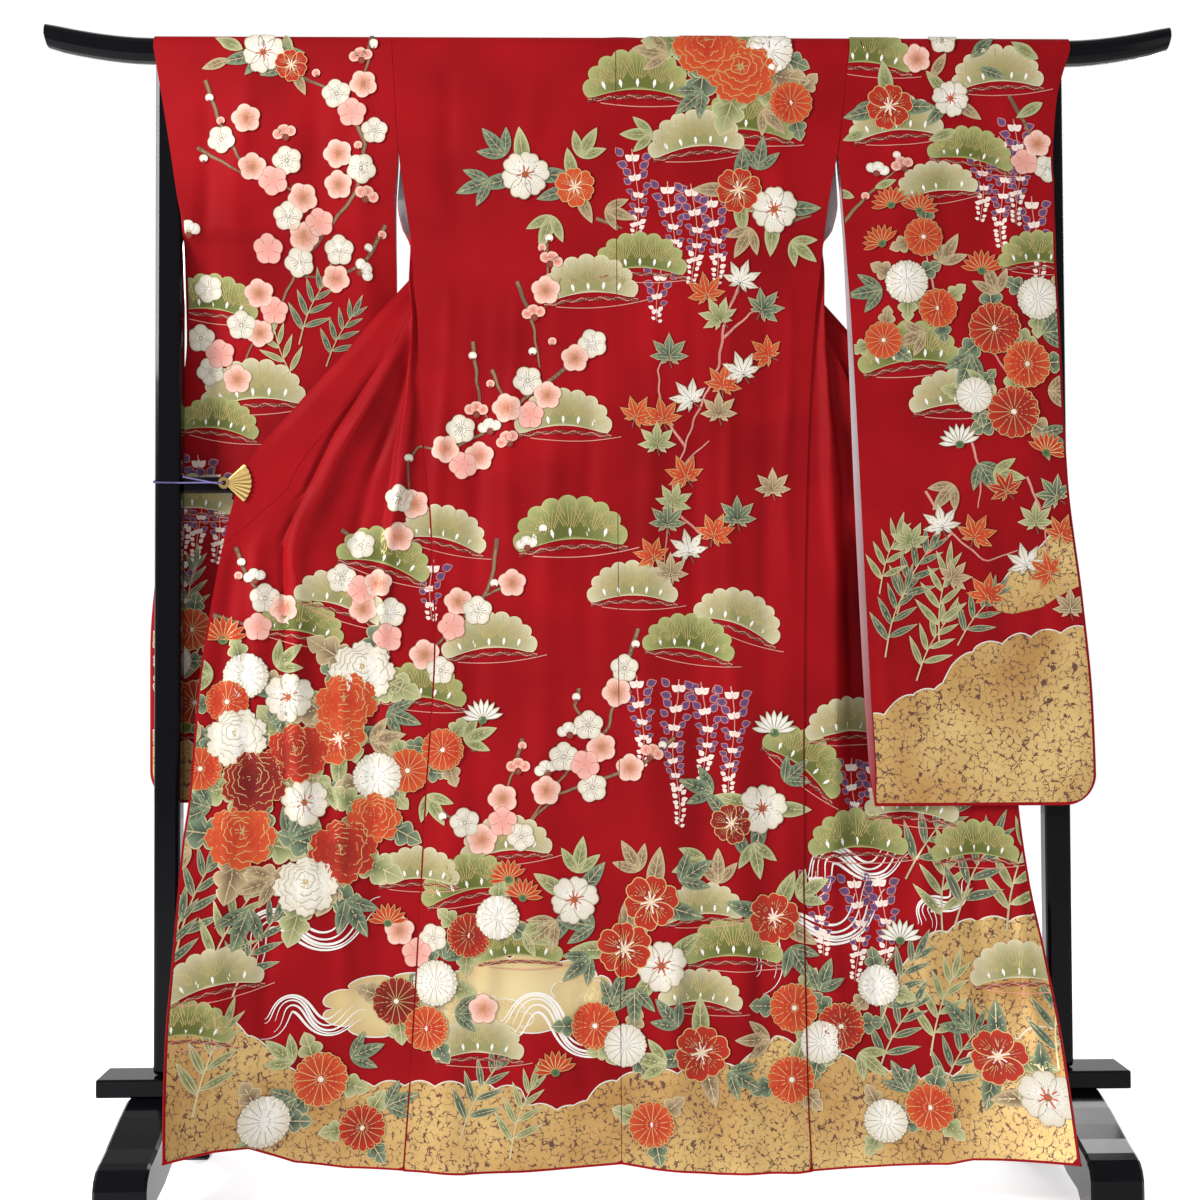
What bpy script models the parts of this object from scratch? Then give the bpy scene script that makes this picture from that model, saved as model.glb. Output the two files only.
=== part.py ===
"""A furisode spread on a lacquered kimono stand, seen from its back.

Metres, +Z up, the floor at z = 0. The garment's back faces -Y and +X is its right
as the viewer sees it. The stand is symmetric about X = 0 and Y = 0.
"""
import bmesh
import bpy
import numpy as np
from math import cos, pi, radians, sin

# driving sizes of the stand
BAR_HALF = 0.8085          # top bar, half its length
BAR_Z = 1.628              # centre of the straight stretch of the top bar
BAR_TALL = 0.036
BAR_DEEP = 0.034
BAR_RISE = 0.0215          # how far each end of the bar turns up
BAR_BEND = 0.150           # length of the turned-up stretch
POST_X = 0.631             # centre line of each post
POST_WIDE = 0.037
POST_DEEP = 0.034
RAIL_Z = 1.0045            # centre of the middle rail
RAIL_TALL = 0.0225
RAIL_DEEP = 0.018
PLANK_HALF = 0.7235        # stretcher plank near the floor
PLANK_TOP = 0.1740
PLANK_THICK = 0.0255
PLANK_DEEP = 0.078
FOOT_X = 0.644             # centre of each foot
FOOT_WIDE = 0.070
FOOT_HALF = 0.234          # half the foot's length, front to back
FIT = 0.0003               # gap between pieces that touch

# driving sizes of the cloth
WALL = 0.0016              # cloth, lined
BAND_WALL = 0.0024         # collar band, folded double
SEAM = 0.0003              # gap at a seam
ON_BAR = 0.0005            # cloth clear of the bar it hangs on
LAP = 0.0020               # how far the front reaches behind the back at the side seam
CENTRE_X = 0.0060          # centre back seam
NECK_HALF = 0.0917         # neck opening, from the centre seam
SHOULDER_Z = BAR_Z         # height where the cloth leaves the bar
SEAM_TOP = 1.336           # side seams start here, the side openings are above
TUCK_Z = 1.2975            # tuck sewn across the back
TUCK_STEP = 0.0012
ON_BAR_WALL = ON_BAR + WALL / 2
BAR_SQUARE = 0.80          # power of the bar's section: 1 is an ellipse, less is squarer

# back of the body: height, side edge of the left and right panel, depth
BACK_ROWS = {
    "z":     (1.628, 1.474, 1.420, 1.336, 1.223, 1.123, 0.967, 0.790, 0.558, 0.417, 0.173, 0.040),
    "left":  (-0.3132, -0.3034, -0.2965, -0.2850, -0.2766, -0.2740, -0.2600, -0.2530,
              -0.2660, -0.2735, -0.2868, -0.2965),
    "right": (0.3400, 0.3222, 0.3115, 0.3000, 0.2872, 0.2800, 0.2735, 0.2690,
              0.2663, 0.2645, 0.2660, 0.2705),
    "depth": (-0.0186, -0.0200, -0.0203, -0.0208, -0.0215, -0.0225, -0.0240, -0.0265,
              -0.0320, -0.0370, -0.0500, -0.0560),
}
# soft folds of the back: place at the tuck and at the hem, where it starts, half width, height
BACK_FOLDS = {
    "x_top": (-0.215, -0.120, 0.060, 0.165, 0.235),
    "x_hem": (-0.235, -0.130, 0.085, 0.180, 0.245),
    "z_top": (0.95, 0.70, 0.80, 1.10, 0.75),
    "half":  (0.026, 0.034, 0.030, 0.026, 0.018),
    "high":  (0.0060, 0.0045, 0.0050, 0.0060, 0.0040),
}
# hem height along the garment's width
HEM = {
    "x": (-0.600, -0.540, -0.500, -0.443, -0.376, -0.296, -0.212, -0.089, 0.006,
          0.052, 0.141, 0.254, 0.355, 0.455, 0.483, 0.520, 0.610),
    "z": (0.1010, 0.1023, 0.0990, 0.0717, 0.0573, 0.0504, 0.0450, 0.0500, 0.0570,
          0.0490, 0.0415, 0.0425, 0.0511, 0.0625, 0.0725, 0.0782, 0.0895),
}
# the fronts hang behind the bar and are swung outwards like pages below the side openings
# free side edge above the side seam
FREE_EDGE = {
    "left": {"z": (1.628, 1.540, 1.474, 1.410, 1.370, 1.336),
             "x": (-0.3130, -0.3085, -0.3045, -0.3065, -0.2990, -0.2810),
             "y": (0.0186, 0.0178, 0.0120, -0.0020, -0.0110, -0.0188)},
    "right": {"z": (1.628, 1.540, 1.474, 1.410, 1.370, 1.336),
              "x": (0.3398, 0.3305, 0.3235, 0.3245, 0.3160, 0.2960),
              "y": (0.0186, 0.0150, 0.0050, -0.0060, -0.0125, -0.0188)},
}
# outer edge: the collar's folded edge from the neck down, then the edge of the okumi
OUTER_EDGE = {
    "left": {"z": (1.628, 1.540, 1.474, 1.410, 1.360, 1.308, 1.240, 1.200, 1.122, 1.022, 0.970,
                   0.906, 0.816, 0.727, 0.566, 0.502, 0.414, 0.322, 0.263, 0.178, 0.095),
             "x": (-0.0340, -0.1040, -0.1567, -0.2077, -0.2476, -0.2890, -0.3440, -0.3745, -0.4421,
                   -0.5185, -0.5350, -0.5495, -0.5664, -0.5791, -0.5896, -0.5959, -0.5997, -0.6023,
                   -0.6045, -0.6015, -0.5955),
             "y": (0.0186, 0.0210, 0.0260, 0.0320, 0.0350, 0.0250, -0.0030, -0.0130, -0.0260,
                   -0.0410, -0.0440, -0.0450, -0.0450, -0.0500, -0.0650, -0.0800, -0.1000, -0.1250,
                   -0.1400, -0.1700, -0.2000)},
    "right": {"z": (1.628, 1.540, 1.474, 1.410, 1.360, 1.308, 1.260, 1.220, 1.122, 1.030, 0.970,
                    0.850, 0.727, 0.600, 0.545, 0.444, 0.352, 0.226, 0.080),
              "x": (0.0460, 0.1080, 0.1540, 0.2000, 0.2360, 0.2735, 0.3110, 0.3420, 0.4220, 0.4900,
                    0.5150, 0.5420, 0.5580, 0.5680, 0.5713, 0.5779, 0.5898, 0.6010, 0.6045),
              "y": (0.0186, 0.0210, 0.0260, 0.0320, 0.0350, 0.0265, 0.0070, -0.0070, -0.0190,
                    -0.0205, -0.0210, -0.0215, -0.0225, -0.0240, -0.0270, -0.0560, -0.0880, -0.1400,
                    -0.2070)},
}
# shares of the way from the side edge to the outer edge where the okumi and the collar start
SEAM_SHARES = {
    "left": {"z": (1.628, 1.540, 1.474, 1.410, 1.360, 1.308, 1.280, 1.240, 1.200, 1.149, 1.095,
                   1.030, 0.938, 0.906, 0.850, 0.735, 0.571, 0.415, 0.268, 0.090),
             "okumi": (0.815, 0.700, 0.580, 0.490, 0.460, 0.450, 0.440, 0.385, 0.370, 0.381, 0.436,
                       0.515, 0.644, 0.661, 0.617, 0.588, 0.604, 0.606, 0.624, 0.679),
             "collar": (0.815, 0.700, 0.580, 0.490, 0.460, 0.455, 0.455, 0.450, 0.460, 0.525, 0.620,
                        0.714, 0.775, 0.790, 0.800, 0.800, 0.800, 0.800, 0.800, 0.800)},
    "right": {"z": (1.628, 1.540, 1.474, 1.410, 1.360, 1.308, 1.280, 1.240, 1.200, 1.149, 1.095,
                    1.030, 0.938, 0.850, 0.735, 0.571, 0.415, 0.268, 0.070),
              "okumi": (0.828, 0.700, 0.580, 0.490, 0.460, 0.450, 0.440, 0.385, 0.385, 0.410, 0.450,
                        0.520, 0.590, 0.590, 0.580, 0.565, 0.580, 0.620, 0.642),
              "collar": (0.828, 0.700, 0.580, 0.490, 0.460, 0.455, 0.455, 0.450, 0.470, 0.540, 0.625,
                         0.690, 0.740, 0.760, 0.760, 0.760, 0.760, 0.760, 0.760)},
}
# the turn: how far the front swells inwards and rearwards where it turns over
TURN = {
    "z":          (1.628, 1.500, 1.410, 1.360, 1.336, 1.300, 1.270, 1.240, 1.200, 1.150, 1.080),
    "inward":     (0.0, 0.0020, 0.0070, 0.0140, 0.0240, 0.0300, 0.0270, 0.0180, 0.0080, 0.0, 0.0),
    "rear_left":  (0.0, 0.0, 0.0060, 0.0100, 0.0120, 0.0120, 0.0100, 0.0070, 0.0030, 0.0, 0.0),
    "rear_right": (0.0, 0.0, 0.0060, 0.0100, 0.0120, 0.0130, 0.0120, 0.0100, 0.0075, 0.0040, 0.0),
}
# folds that radiate from the top of the side seam: the strip beside the seam, moved out and
# forwards, and the fold that covers the okumi seam
RADIAL = {
    "z":         (1.400, 1.336, 1.300, 1.240, 1.180, 1.100, 1.000, 0.930, 0.860),
    "out_left":  (0.0, 0.0160, 0.0195, 0.0080, 0.0020, 0.0, 0.0, 0.0, 0.0),
    "out_right": (0.0, 0.0180, 0.0235, 0.0170, 0.0120, 0.0085, 0.0060, 0.0040, 0.0),
    "strip":     (0.0, 0.0055, 0.0080, 0.0080, 0.0065, 0.0060, 0.0055, 0.0025, 0.0),
    "cover":     (0.0, 0.0, 0.0, 0.0, 0.0040, 0.0055, 0.0050, 0.0020, 0.0),
}
# shares of the front's width: where the strip starts to rise, its fold, where it has stepped back
STRIP = (0.10, 0.31, 0.39)
EDGE_ROLL = {"z": (1.340, 1.250, 1.100, 1.045), "back": (0.0, 0.0045, 0.0045, 0.0)}
COLLAR_ROWS = (1.600, 0.985)   # heights of the collar's first and last full row
# pull folds of the okumi below the clip: place across, half width, height
PULL_FOLDS = {"v": (0.22, 0.52, 0.80), "half": (0.12, 0.12, 0.10), "high": (-0.0040, 0.0050, -0.0045)}
PULL_Z = (0.45, 0.86, 0.97)

# sleeves: heights and edges of the near layer (towards -Y) and the far layer
SLEEVES = {
    "left": {
        "wrist_end": 1.345, "bottom": 0.552, "corner": 0.045,
        "z":            (1.628, 1.540, 1.474, 1.410, 1.375, 1.345, 1.300, 1.220, 1.150, 1.000, 0.770, 0.552),
        "inner_near_x": (-0.3136, -0.3088, -0.3050, -0.3108, -0.3114, -0.3115, -0.3115, -0.3118,
                         -0.3120, -0.3120, -0.3120, -0.3120),
        "inner_far_x":  (-0.3138, -0.3100, -0.3066, -0.3110, -0.3117, -0.3120, -0.3120, -0.3123,
                         -0.3125, -0.3125, -0.3125, -0.3125),
        "inner_near_y": (-0.0186, -0.0192, -0.0195, -0.0030, 0.0110, 0.0220, 0.0335, 0.0370,
                         0.0345, 0.0300, 0.0275, 0.0290),
        "inner_far_y":  (0.0186, 0.0180, 0.0150, 0.0270, 0.0350, 0.0410, 0.0465, 0.0490,
                         0.0475, 0.0440, 0.0425, 0.0410),
        "outer_near_x": (-0.6520, -0.6370, -0.6265, -0.6170, -0.6108, -0.6106, -0.6106, -0.6110,
                         -0.6190, -0.6400, -0.6650, -0.6645),
        "outer_far_x":  (-0.6520, -0.6370, -0.6265, -0.6170, -0.6108, -0.6106, -0.6106, -0.6110,
                         -0.6190, -0.6400, -0.6650, -0.6645),
        "outer_near_y": (-0.0186, -0.0190, -0.0198, -0.0198, -0.0190, 0.0, 0.0090, 0.0220,
                         0.0300, 0.0340, 0.0350, 0.0350),
        "outer_far_y":  (0.0186, 0.0190, 0.0202, 0.0206, 0.0195, 0.0, 0.0090, 0.0220,
                         0.0300, 0.0340, 0.0350, 0.0350),
    },
    "right": {
        "wrist_end": 1.420, "bottom": 0.547, "corner": 0.045,
        "z":            (1.628, 1.560, 1.500, 1.474, 1.450, 1.432, 1.420, 1.335, 1.219, 1.006, 0.836,
                         0.694, 0.547),
        "inner_near_x": (0.3403, 0.3328, 0.3260, 0.3240, 0.3250, 0.3260, 0.3265, 0.3310, 0.3377,
                         0.3475, 0.3545, 0.3605, 0.3690),
        "inner_far_x":  (0.3405, 0.3336, 0.3272, 0.3252, 0.3252, 0.3256, 0.3258, 0.3290, 0.3330,
                         0.3400, 0.3465, 0.3530, 0.3620),
        "inner_near_y": (-0.0186, -0.0193, -0.0200, -0.0205, -0.0250, -0.0282, -0.0300, -0.0390,
                         -0.0430, -0.0430, -0.0430, -0.0430, -0.0410),
        "inner_far_y":  (0.0186, 0.0170, 0.0100, 0.0060, -0.0040, -0.0120, -0.0160, -0.0290,
                         -0.0315, -0.0318, -0.0318, -0.0318, -0.0330),
        "outer_near_x": (0.6600, 0.6400, 0.6335, 0.6315, 0.6305, 0.6302, 0.6301, 0.6302, 0.6347,
                         0.6435, 0.6628, 0.6753, 0.6798),
        "outer_far_x":  (0.6560, 0.6020, 0.5980, 0.6000, 0.6090, 0.6270, 0.6301, 0.6302, 0.6347,
                         0.6435, 0.6628, 0.6753, 0.6798),
        "outer_near_y": (-0.0186, -0.0200, -0.0220, -0.0240, -0.0280, -0.0325, -0.0320, -0.0365,
                         -0.0375, -0.0375, -0.0375, -0.0375, -0.0375),
        "outer_far_y":  (0.0186, 0.0186, 0.0030, -0.0080, -0.0190, -0.0258, -0.0320, -0.0365,
                         -0.0375, -0.0375, -0.0375, -0.0375, -0.0375),
    },
}

CLIP_Z = 1.0035            # height of the clip's ring
CLIP_BEYOND = 0.0205       # from the cloth's edge to the ring's centre
CLIP_REACH = 0.0375        # from the ring's centre to the fan's rim
CLIP_SPREAD = radians(88)
CLIP_RIBS = 8
CLIP_LEAF = 0.0014
RIB_RISE = 0.0016
RING_OUT = 0.0080
RING_IN = 0.0034
CORD_RADIUS = 0.0012

NECK_RISE = 0.0022         # the collar stands up a little over the middle of the bar
NECK_RISE_X = 0.015
NECK_RISE_HALF = 0.035

# mesh of the cloth: columns of a body panel from the neck to the side, as shares of the
# front's width from the side edge, of the okumi and of the collar
FRONT_SHARES = (0.0, 0.10, 0.20, 0.31, 0.37, 0.45, 0.56, 0.70, 0.85, 1.0)
OKUMI_SHARES = (0.0, 0.12, 0.30, 0.50, 0.70, 0.86, 1.0)
COLLAR_SHARES = (0.0, 0.38, 0.72, 1.0)
NECK_CELLS = 3             # cells of the back between the centre seam and the neck corner
BAR_STEPS = 8              # steps over the bar
SLEEVE_COLUMNS = 9
WRIST_TACK = 0.012         # height of the row where the wrist opening closes
OKUMI_TOP = {"left": 1.262, "right": 1.235}   # height of each okumi's point


def curve_at(heights, values, z):
    """Value at height z on a smooth curve through the rows (Hermite, mean slopes)."""
    h = np.asarray(heights, float)[::-1]
    v = np.asarray(values, float)[::-1]
    z = np.clip(np.asarray(z, float), h[0], h[-1])
    step = np.diff(h)
    rise = np.diff(v) / step
    slope = np.empty_like(v)
    slope[0], slope[-1] = rise[0], rise[-1]
    same = rise[1:] * rise[:-1] > 0
    mean = np.where(same, 2 * rise[1:] * rise[:-1] / np.where(same, rise[1:] + rise[:-1], 1), 0)
    slope[1:-1] = mean
    k = np.clip(np.searchsorted(h, z, side="right") - 1, 0, len(h) - 2)
    t = (z - h[k]) / step[k]
    blend = t * t * (3 - 2 * t)
    return (v[k] * (1 - blend) + v[k + 1] * blend
            + step[k] * t * (1 - t) * (slope[k] * (1 - t) - slope[k + 1] * t))


def ramp(value, start, end):
    """0 at start, 1 at end, smooth between."""
    t = np.clip((value - start) / (end - start), 0, 1)
    return t * t * (3 - 2 * t)


def hem_at(x):
    """Hem height at x."""
    return np.interp(x, HEM["x"], HEM["z"])


def back_side(side, z):
    return curve_at(BACK_ROWS["z"], BACK_ROWS[side], z)


def back_depth(x, z):
    """Y of the back at (x, z): the hang, the step of the tuck and the soft folds."""
    y = curve_at(BACK_ROWS["z"], BACK_ROWS["depth"], z)
    y = y - TUCK_STEP * ramp(z, TUCK_Z - 0.001, TUCK_Z + 0.001) * ramp(z, SHOULDER_Z, SHOULDER_Z - 0.15)
    rows = zip(*BACK_FOLDS.values())
    for x_top, x_hem, z_top, half, high in rows:
        down = np.clip((z_top - z) / z_top, 0, 1)
        middle = x_hem + (x_top - x_hem) * np.clip(z / TUCK_Z, 0, 1)
        y = y - high * ramp(down, 0, 0.6) * np.exp(-((x - middle) / half) ** 2)
    return y


def back_point(side, w, z):
    """Back panel at share w of its width (0 centre seam, 1 side) and height z."""
    sign = -1 if side == "left" else 1
    inner = CENTRE_X + sign * SEAM / 2
    x = inner + (back_side(side, z) - inner) * w
    return np.stack([x, back_depth(x, z), z], -1)


def front_side(side, z):
    """(x, y) of the front's side edge: free in the side opening, lapped behind the seam below."""
    rows = FREE_EDGE[side]
    inward = LAP if side == "left" else -LAP
    edge_x = back_side(side, z)
    seam_x = edge_x + inward
    seam_y = back_depth(edge_x, z) + WALL + SEAM + 0.0006
    free = ramp(z, SEAM_TOP, SEAM_TOP + 0.03)
    x = seam_x + (curve_at(rows["z"], rows["x"], z) - seam_x) * free
    y = seam_y + (curve_at(rows["z"], rows["y"], z) - seam_y) * free
    return x, y


def seam_share(side, which, z):
    rows = SEAM_SHARES[side]
    return curve_at(rows["z"], rows[which], z)


def front_point(side, s, z):
    """The whole front, body panel, okumi and collar, at share s (0 side edge, 1 outer edge):
    straight across or swept forwards as a power of s, swollen inwards and rearwards by
    sin(pi s) where it turns over, with the radial folds, pull folds and the rolled edge."""
    sign = 1 if side == "left" else -1
    rows = OUTER_EDGE[side]
    x0, y0 = front_side(side, z)
    x1 = curve_at(rows["z"], rows["x"], z)
    y1 = curve_at(rows["z"], rows["y"], z)
    okumi = seam_share(side, "okumi", z)
    collar = seam_share(side, "collar", z)
    q = np.clip(s / okumi, 0, 1)
    v = np.clip((s - okumi) / np.maximum(collar - okumi, 0.01), 0, 1)
    k = np.clip((s - collar) / (1 - collar), 0, 1)
    start, first, second = STRIP
    strip = ramp(q, start, first) - 1.4 * ramp(q, first, second) + 0.4 * np.clip((q - second) / (1 - second), 0, 1)
    out = ramp(q, 0, first) * np.minimum(1, (1 - s) / (1 - first * okumi))
    cover = np.where(s < okumi, ramp(q, 0.45, 1.0), 0.3 * (v - 1))
    x = x0 + (x1 - x0) * s + sign * curve_at(TURN["z"], TURN["inward"], z) * np.sin(pi * s)
    x = x - sign * curve_at(RADIAL["z"], RADIAL["out_" + side], z) * out
    power = 1 + 1.2 * ramp(z, 0.75, 0.10)
    y = y0 + (y1 - y0) * s ** power + curve_at(TURN["z"], TURN["rear_" + side], z) * np.sin(pi * s)
    y = y - curve_at(RADIAL["z"], RADIAL["strip"], z) * strip
    y = y - curve_at(RADIAL["z"], RADIAL["cover"], z) * cover
    y = y + curve_at(EDGE_ROLL["z"], EDGE_ROLL["back"], z) * ramp(k, 0.70, 1.0)
    if side == "left":
        low, middle, high = PULL_Z
        pull = ramp(z, low, middle) * ramp(z, high, middle)
        across = (s - okumi) / (1 - okumi)
        for at, half, lift in zip(*PULL_FOLDS.values()):
            y = y - lift * pull * np.exp(-((across - at) / half) ** 2)
    return np.stack([x, y, z + 0 * s], -1)


def bar_section(angle, grow):
    """(y, z) round the bar's section at angle (0 towards -Y, pi/2 up), grown by grow."""
    y = np.sign(np.cos(angle)) * np.abs(np.cos(angle)) ** BAR_SQUARE
    z = np.sign(np.sin(angle)) * np.abs(np.sin(angle)) ** BAR_SQUARE
    return -(BAR_DEEP / 2 + grow) * y, BAR_Z + (BAR_TALL / 2 + grow) * z


def over_bar(x, grow):
    """Rows of points over the bar, from the near side to the far side."""
    y, z = bar_section(np.linspace(0, pi, BAR_STEPS + 1)[:, None], grow)
    x = np.asarray(x, float)[None, :]
    return np.stack([x + 0 * y, y + 0 * x, z + 0 * x], -1)


def spaced(start, end, count):
    return np.linspace(start, end, count + 1)


def front_rows():
    """Shares of the way down from the bar to the hem, closer where the front turns over."""
    fall = SHOULDER_Z - 0.075
    first = (SHOULDER_Z - COLLAR_ROWS[0]) / fall
    last = (SHOULDER_Z - COLLAR_ROWS[1]) / fall
    return np.concatenate([[0, first], spaced(first, 0.10, 2)[1:], spaced(0.10, 0.32, 11)[1:],
                           spaced(0.32, last, 4)[1:], spaced(last, 1, 11)[1:]])


def front_heights(side, s, t):
    """Height at share s across and share t down: straight between the bar and the hem."""
    x0 = back_side(side, 0.05)
    x1 = OUTER_EDGE[side]["x"][-1]
    return SHOULDER_Z + (hem_at(x0 + (x1 - x0) * s) - SHOULDER_Z) * t


def seam_at(side, which, t, gap):
    """Share s of a seam in each row t, moved by gap metres along the row."""
    s = np.full_like(t, 0.5)
    for _ in range(4):
        s = seam_share(side, which, front_heights(side, s, t))
    z = front_heights(side, s, t)
    nearby = 0.01
    step = front_point(side, s + nearby, z) - front_point(side, s - nearby, z)
    step[:, 1] *= np.abs(curve_at(TURN["z"], TURN["inward"], z)) > 0.004
    wider = 1 + 1.5 * curve_at(TURN["z"], TURN["inward"], z) / max(TURN["inward"])
    return s + gap * wider * 2 * nearby / np.linalg.norm(step, axis=-1)


def front_part(side, start, end, shares, t):
    """Grid of points between two seams; start and end hold a share s for each row t."""
    s = start[:, None] + (end - start)[:, None] * np.asarray(shares)[None, :]
    return front_point(side, s, front_heights(side, s, t[:, None]))


def body_grids(side):
    """Back grid from the top of the bar to the hem, front grid from there down behind it."""
    t = front_rows()
    width = abs(back_side(side, SHOULDER_Z) - CENTRE_X)
    neck = NECK_HALF / width
    w = np.concatenate([spaced(0, neck, NECK_CELLS)[:-1], spaced(neck, 1, len(FRONT_SHARES) - 1)])
    high = np.concatenate([spaced(SHOULDER_Z, TUCK_Z + 0.0015, 5), [TUCK_Z - 0.0015]])
    upper = back_point(side, w[None, :], high[:, None] + 0 * w[None, :])
    down = spaced(0, 1, 14)[1:, None]
    last = hem_at(back_point(side, w, np.full_like(w, 0.05))[:, 0])[None, :]
    lower = back_point(side, w[None, :], high[-1] + (last - high[-1]) * down)
    top = over_bar(upper[0, :, 0], ON_BAR_WALL)
    half = BAR_STEPS // 2
    back = np.concatenate([top[half:0:-1], upper, lower])
    end = np.minimum(seam_at(side, "okumi", t, -SEAM), seam_at(side, "collar", t, -SEAM))
    front = front_part(side, 0 * t, end, FRONT_SHARES, t)
    rear = top[half:, :NECK_CELLS - 1:-1].copy()
    passed = spaced(0, 1, half)[:, None]
    rear[:, :, 0] += (front[0, :, 0][None, :] - rear[:, :, 0]) * passed
    return back, np.concatenate([rear, front[1:]])


def okumi_grid(side):
    """Okumi from its point to the hem; below the collar's end it reaches the outer edge."""
    t = front_rows()
    t = t[front_heights(side, 0.42, t) < OKUMI_TOP[side]]
    start = seam_at(side, "okumi", t, SEAM)
    end = seam_at(side, "collar", t, -SEAM)
    end[front_heights(side, 0.8, t) < COLLAR_ROWS[1] - 0.02] = 1.0
    return front_part(side, start, end, OKUMI_SHARES, t)


def collar_grid(side):
    """Collar from below the neck stretch to its end, which is cut on the slant."""
    t = front_rows()
    z = front_heights(side, 0.9, t)
    kept = (z < COLLAR_ROWS[0] + 0.005) & (z > COLLAR_ROWS[1] - 0.02)
    start = seam_at(side, "collar", t[kept], SEAM)
    grid = front_part(side, start, np.ones_like(start), COLLAR_SHARES, t[kept])
    below = t[np.flatnonzero(kept)[-1] + 1]
    corner = front_part(side, np.ones(1), np.ones(1), (0.0,), np.array([below]))[0]
    shares = np.asarray(COLLAR_SHARES)[:, None]
    cut = grid[-1, 0] + (corner - grid[-1, 0]) * shares
    cut[:, 2] += 6 * SEAM * shares[:, 0]
    return np.concatenate([grid, cut[None]])


def sleeve_layer(side, layer, w, z):
    """One layer of a sleeve at share w (0 inner edge, 1 outer edge): straight between the
    edges; below the wrist opening the layers close on one middle surface, like the root of
    1 - w^4 at the outer edge and like the root of the height at the bottom."""
    rows = SLEEVES[side]
    inner_x = curve_at(rows["z"], rows["inner_%s_x" % layer], z)
    outer_x = curve_at(rows["z"], rows["outer_%s_x" % layer], z)
    inner_y = curve_at(rows["z"], rows["inner_%s_y" % layer], z)
    outer_y = curve_at(rows["z"], rows["outer_%s_y" % layer], z)
    radius = rows["corner"]
    rise = np.clip((rows["bottom"] + radius - z) / radius, 0, 1)
    corner = radius * (1 - np.sqrt(1 - rise ** 2))
    outer_x = outer_x - np.sign(outer_x) * corner
    mid_inner = (curve_at(rows["z"], rows["inner_near_y"], z)
                 + curve_at(rows["z"], rows["inner_far_y"], z)) / 2
    closed = ramp(z, rows["wrist_end"] + 0.06, rows["wrist_end"])
    straight = inner_y + (outer_y - inner_y) * w
    middle = mid_inner + (outer_y - mid_inner) * w
    foot = np.sqrt(np.clip((z - rows["bottom"]) / 0.05, 0, 1))
    apart = np.minimum(np.sqrt(np.clip(1 - w ** 4, 0, 1)), foot)
    y = straight + (middle + (inner_y - mid_inner) * apart - straight) * closed
    mean_x = (curve_at(rows["z"], rows["inner_near_x"], z) + curve_at(rows["z"], rows["inner_far_x"], z)) / 2
    inner_x = mean_x + (inner_x - mean_x) * foot ** 2
    x = inner_x + (outer_x - inner_x) * w
    return np.stack([x, y, z + 0 * w], -1)


def sleeve_grids(side):
    """Near and far grids of a sleeve, which share the fold over the bar, the closed outer
    edge below the wrist opening, and the bottom seam."""
    rows = SLEEVES[side]
    w = np.concatenate([np.linspace(0, 0.92, SLEEVE_COLUMNS), [0.975, 1.0]])
    wrist = rows["wrist_end"]
    bottom = rows["bottom"]
    radius = rows["corner"]
    z = np.concatenate([
        spaced(SHOULDER_Z, wrist + 2.5 * WRIST_TACK, 6)[1:],
        [wrist + WRIST_TACK, wrist],
        spaced(wrist, bottom + radius, 11)[1:],
        bottom + radius * np.array([0.62, 0.30, 0.10, 0.0]),
    ])[:, None]
    grids = []
    for layer in ("near", "far"):
        grid = sleeve_layer(side, layer, w[None, :], z + 0 * w[None, :])
        closed = z[:, 0] <= wrist + 1e-6
        shared = sleeve_layer(side, "near", np.ones(1), z)[:, 0]
        grid[closed, -1] = shared[closed]
        grids.append(grid)
    last = (grids[0][-1] + grids[1][-1]) / 2
    grids[0][-1] = last
    grids[1][-1] = last
    half = BAR_STEPS // 2
    shoulder = np.full_like(w, SHOULDER_Z)
    near_x = sleeve_layer(side, "near", w, shoulder)[:, 0]
    far_x = sleeve_layer(side, "far", w, shoulder)[:, 0]
    top = over_bar(near_x, ON_BAR_WALL)
    passed = spaced(0, 1, half)[:, None]
    top[half:, :, 0] += (far_x - near_x)[None, :] * passed
    return np.concatenate([top[half::-1], grids[0]]), np.concatenate([top[half:], grids[1]])


def back_collar_grid():
    """Collar round the back of the neck: over the rear half of the bar, then a short hang
    between the two fronts down to where the side stretches start."""
    t = front_rows()[:2]
    left = front_part("left", seam_at("left", "collar", t, SEAM), np.ones(2), (0.0,), t)[:, 0]
    right = front_part("right", seam_at("right", "collar", t, SEAM), np.ones(2), (0.0,), t)[:, 0]
    share = spaced(0, 1, 8)
    x = left[0, 0] + 0.0008 + (right[0, 0] - left[0, 0] - 0.0016) * share
    rows = over_bar(x, ON_BAR_WALL + (BAND_WALL - WALL) / 2)[BAR_STEPS // 2:]
    rows[0, :, 1] += 0.0010
    rise = NECK_RISE * np.exp(-((x - NECK_RISE_X) / NECK_RISE_HALF) ** 2)
    rows[:, :, 2] += rise[None, :] * np.array([1.0, 0.9, 0.5, 0.1, 0.0])[:, None]
    hang = left[1] + (right[1] - left[1]) * share[:, None]
    hang[:, 0] = left[1, 0] + 0.0008 + (right[1, 0] - left[1, 0] - 0.0016) * share
    hang[:, 2] = COLLAR_ROWS[0] + 0.0010
    between = (rows[-1] + hang) / 2
    return np.concatenate([rows, between[None], hang[None]])


def material(name, colour, roughness, metallic=0.0):
    made = bpy.data.materials.new(name)
    made.use_nodes = True
    shader = made.node_tree.nodes["Principled BSDF"]
    shader.inputs["Base Color"].default_value = (*colour, 1.0)
    shader.inputs["Roughness"].default_value = roughness
    shader.inputs["Metallic"].default_value = metallic
    return made


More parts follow.
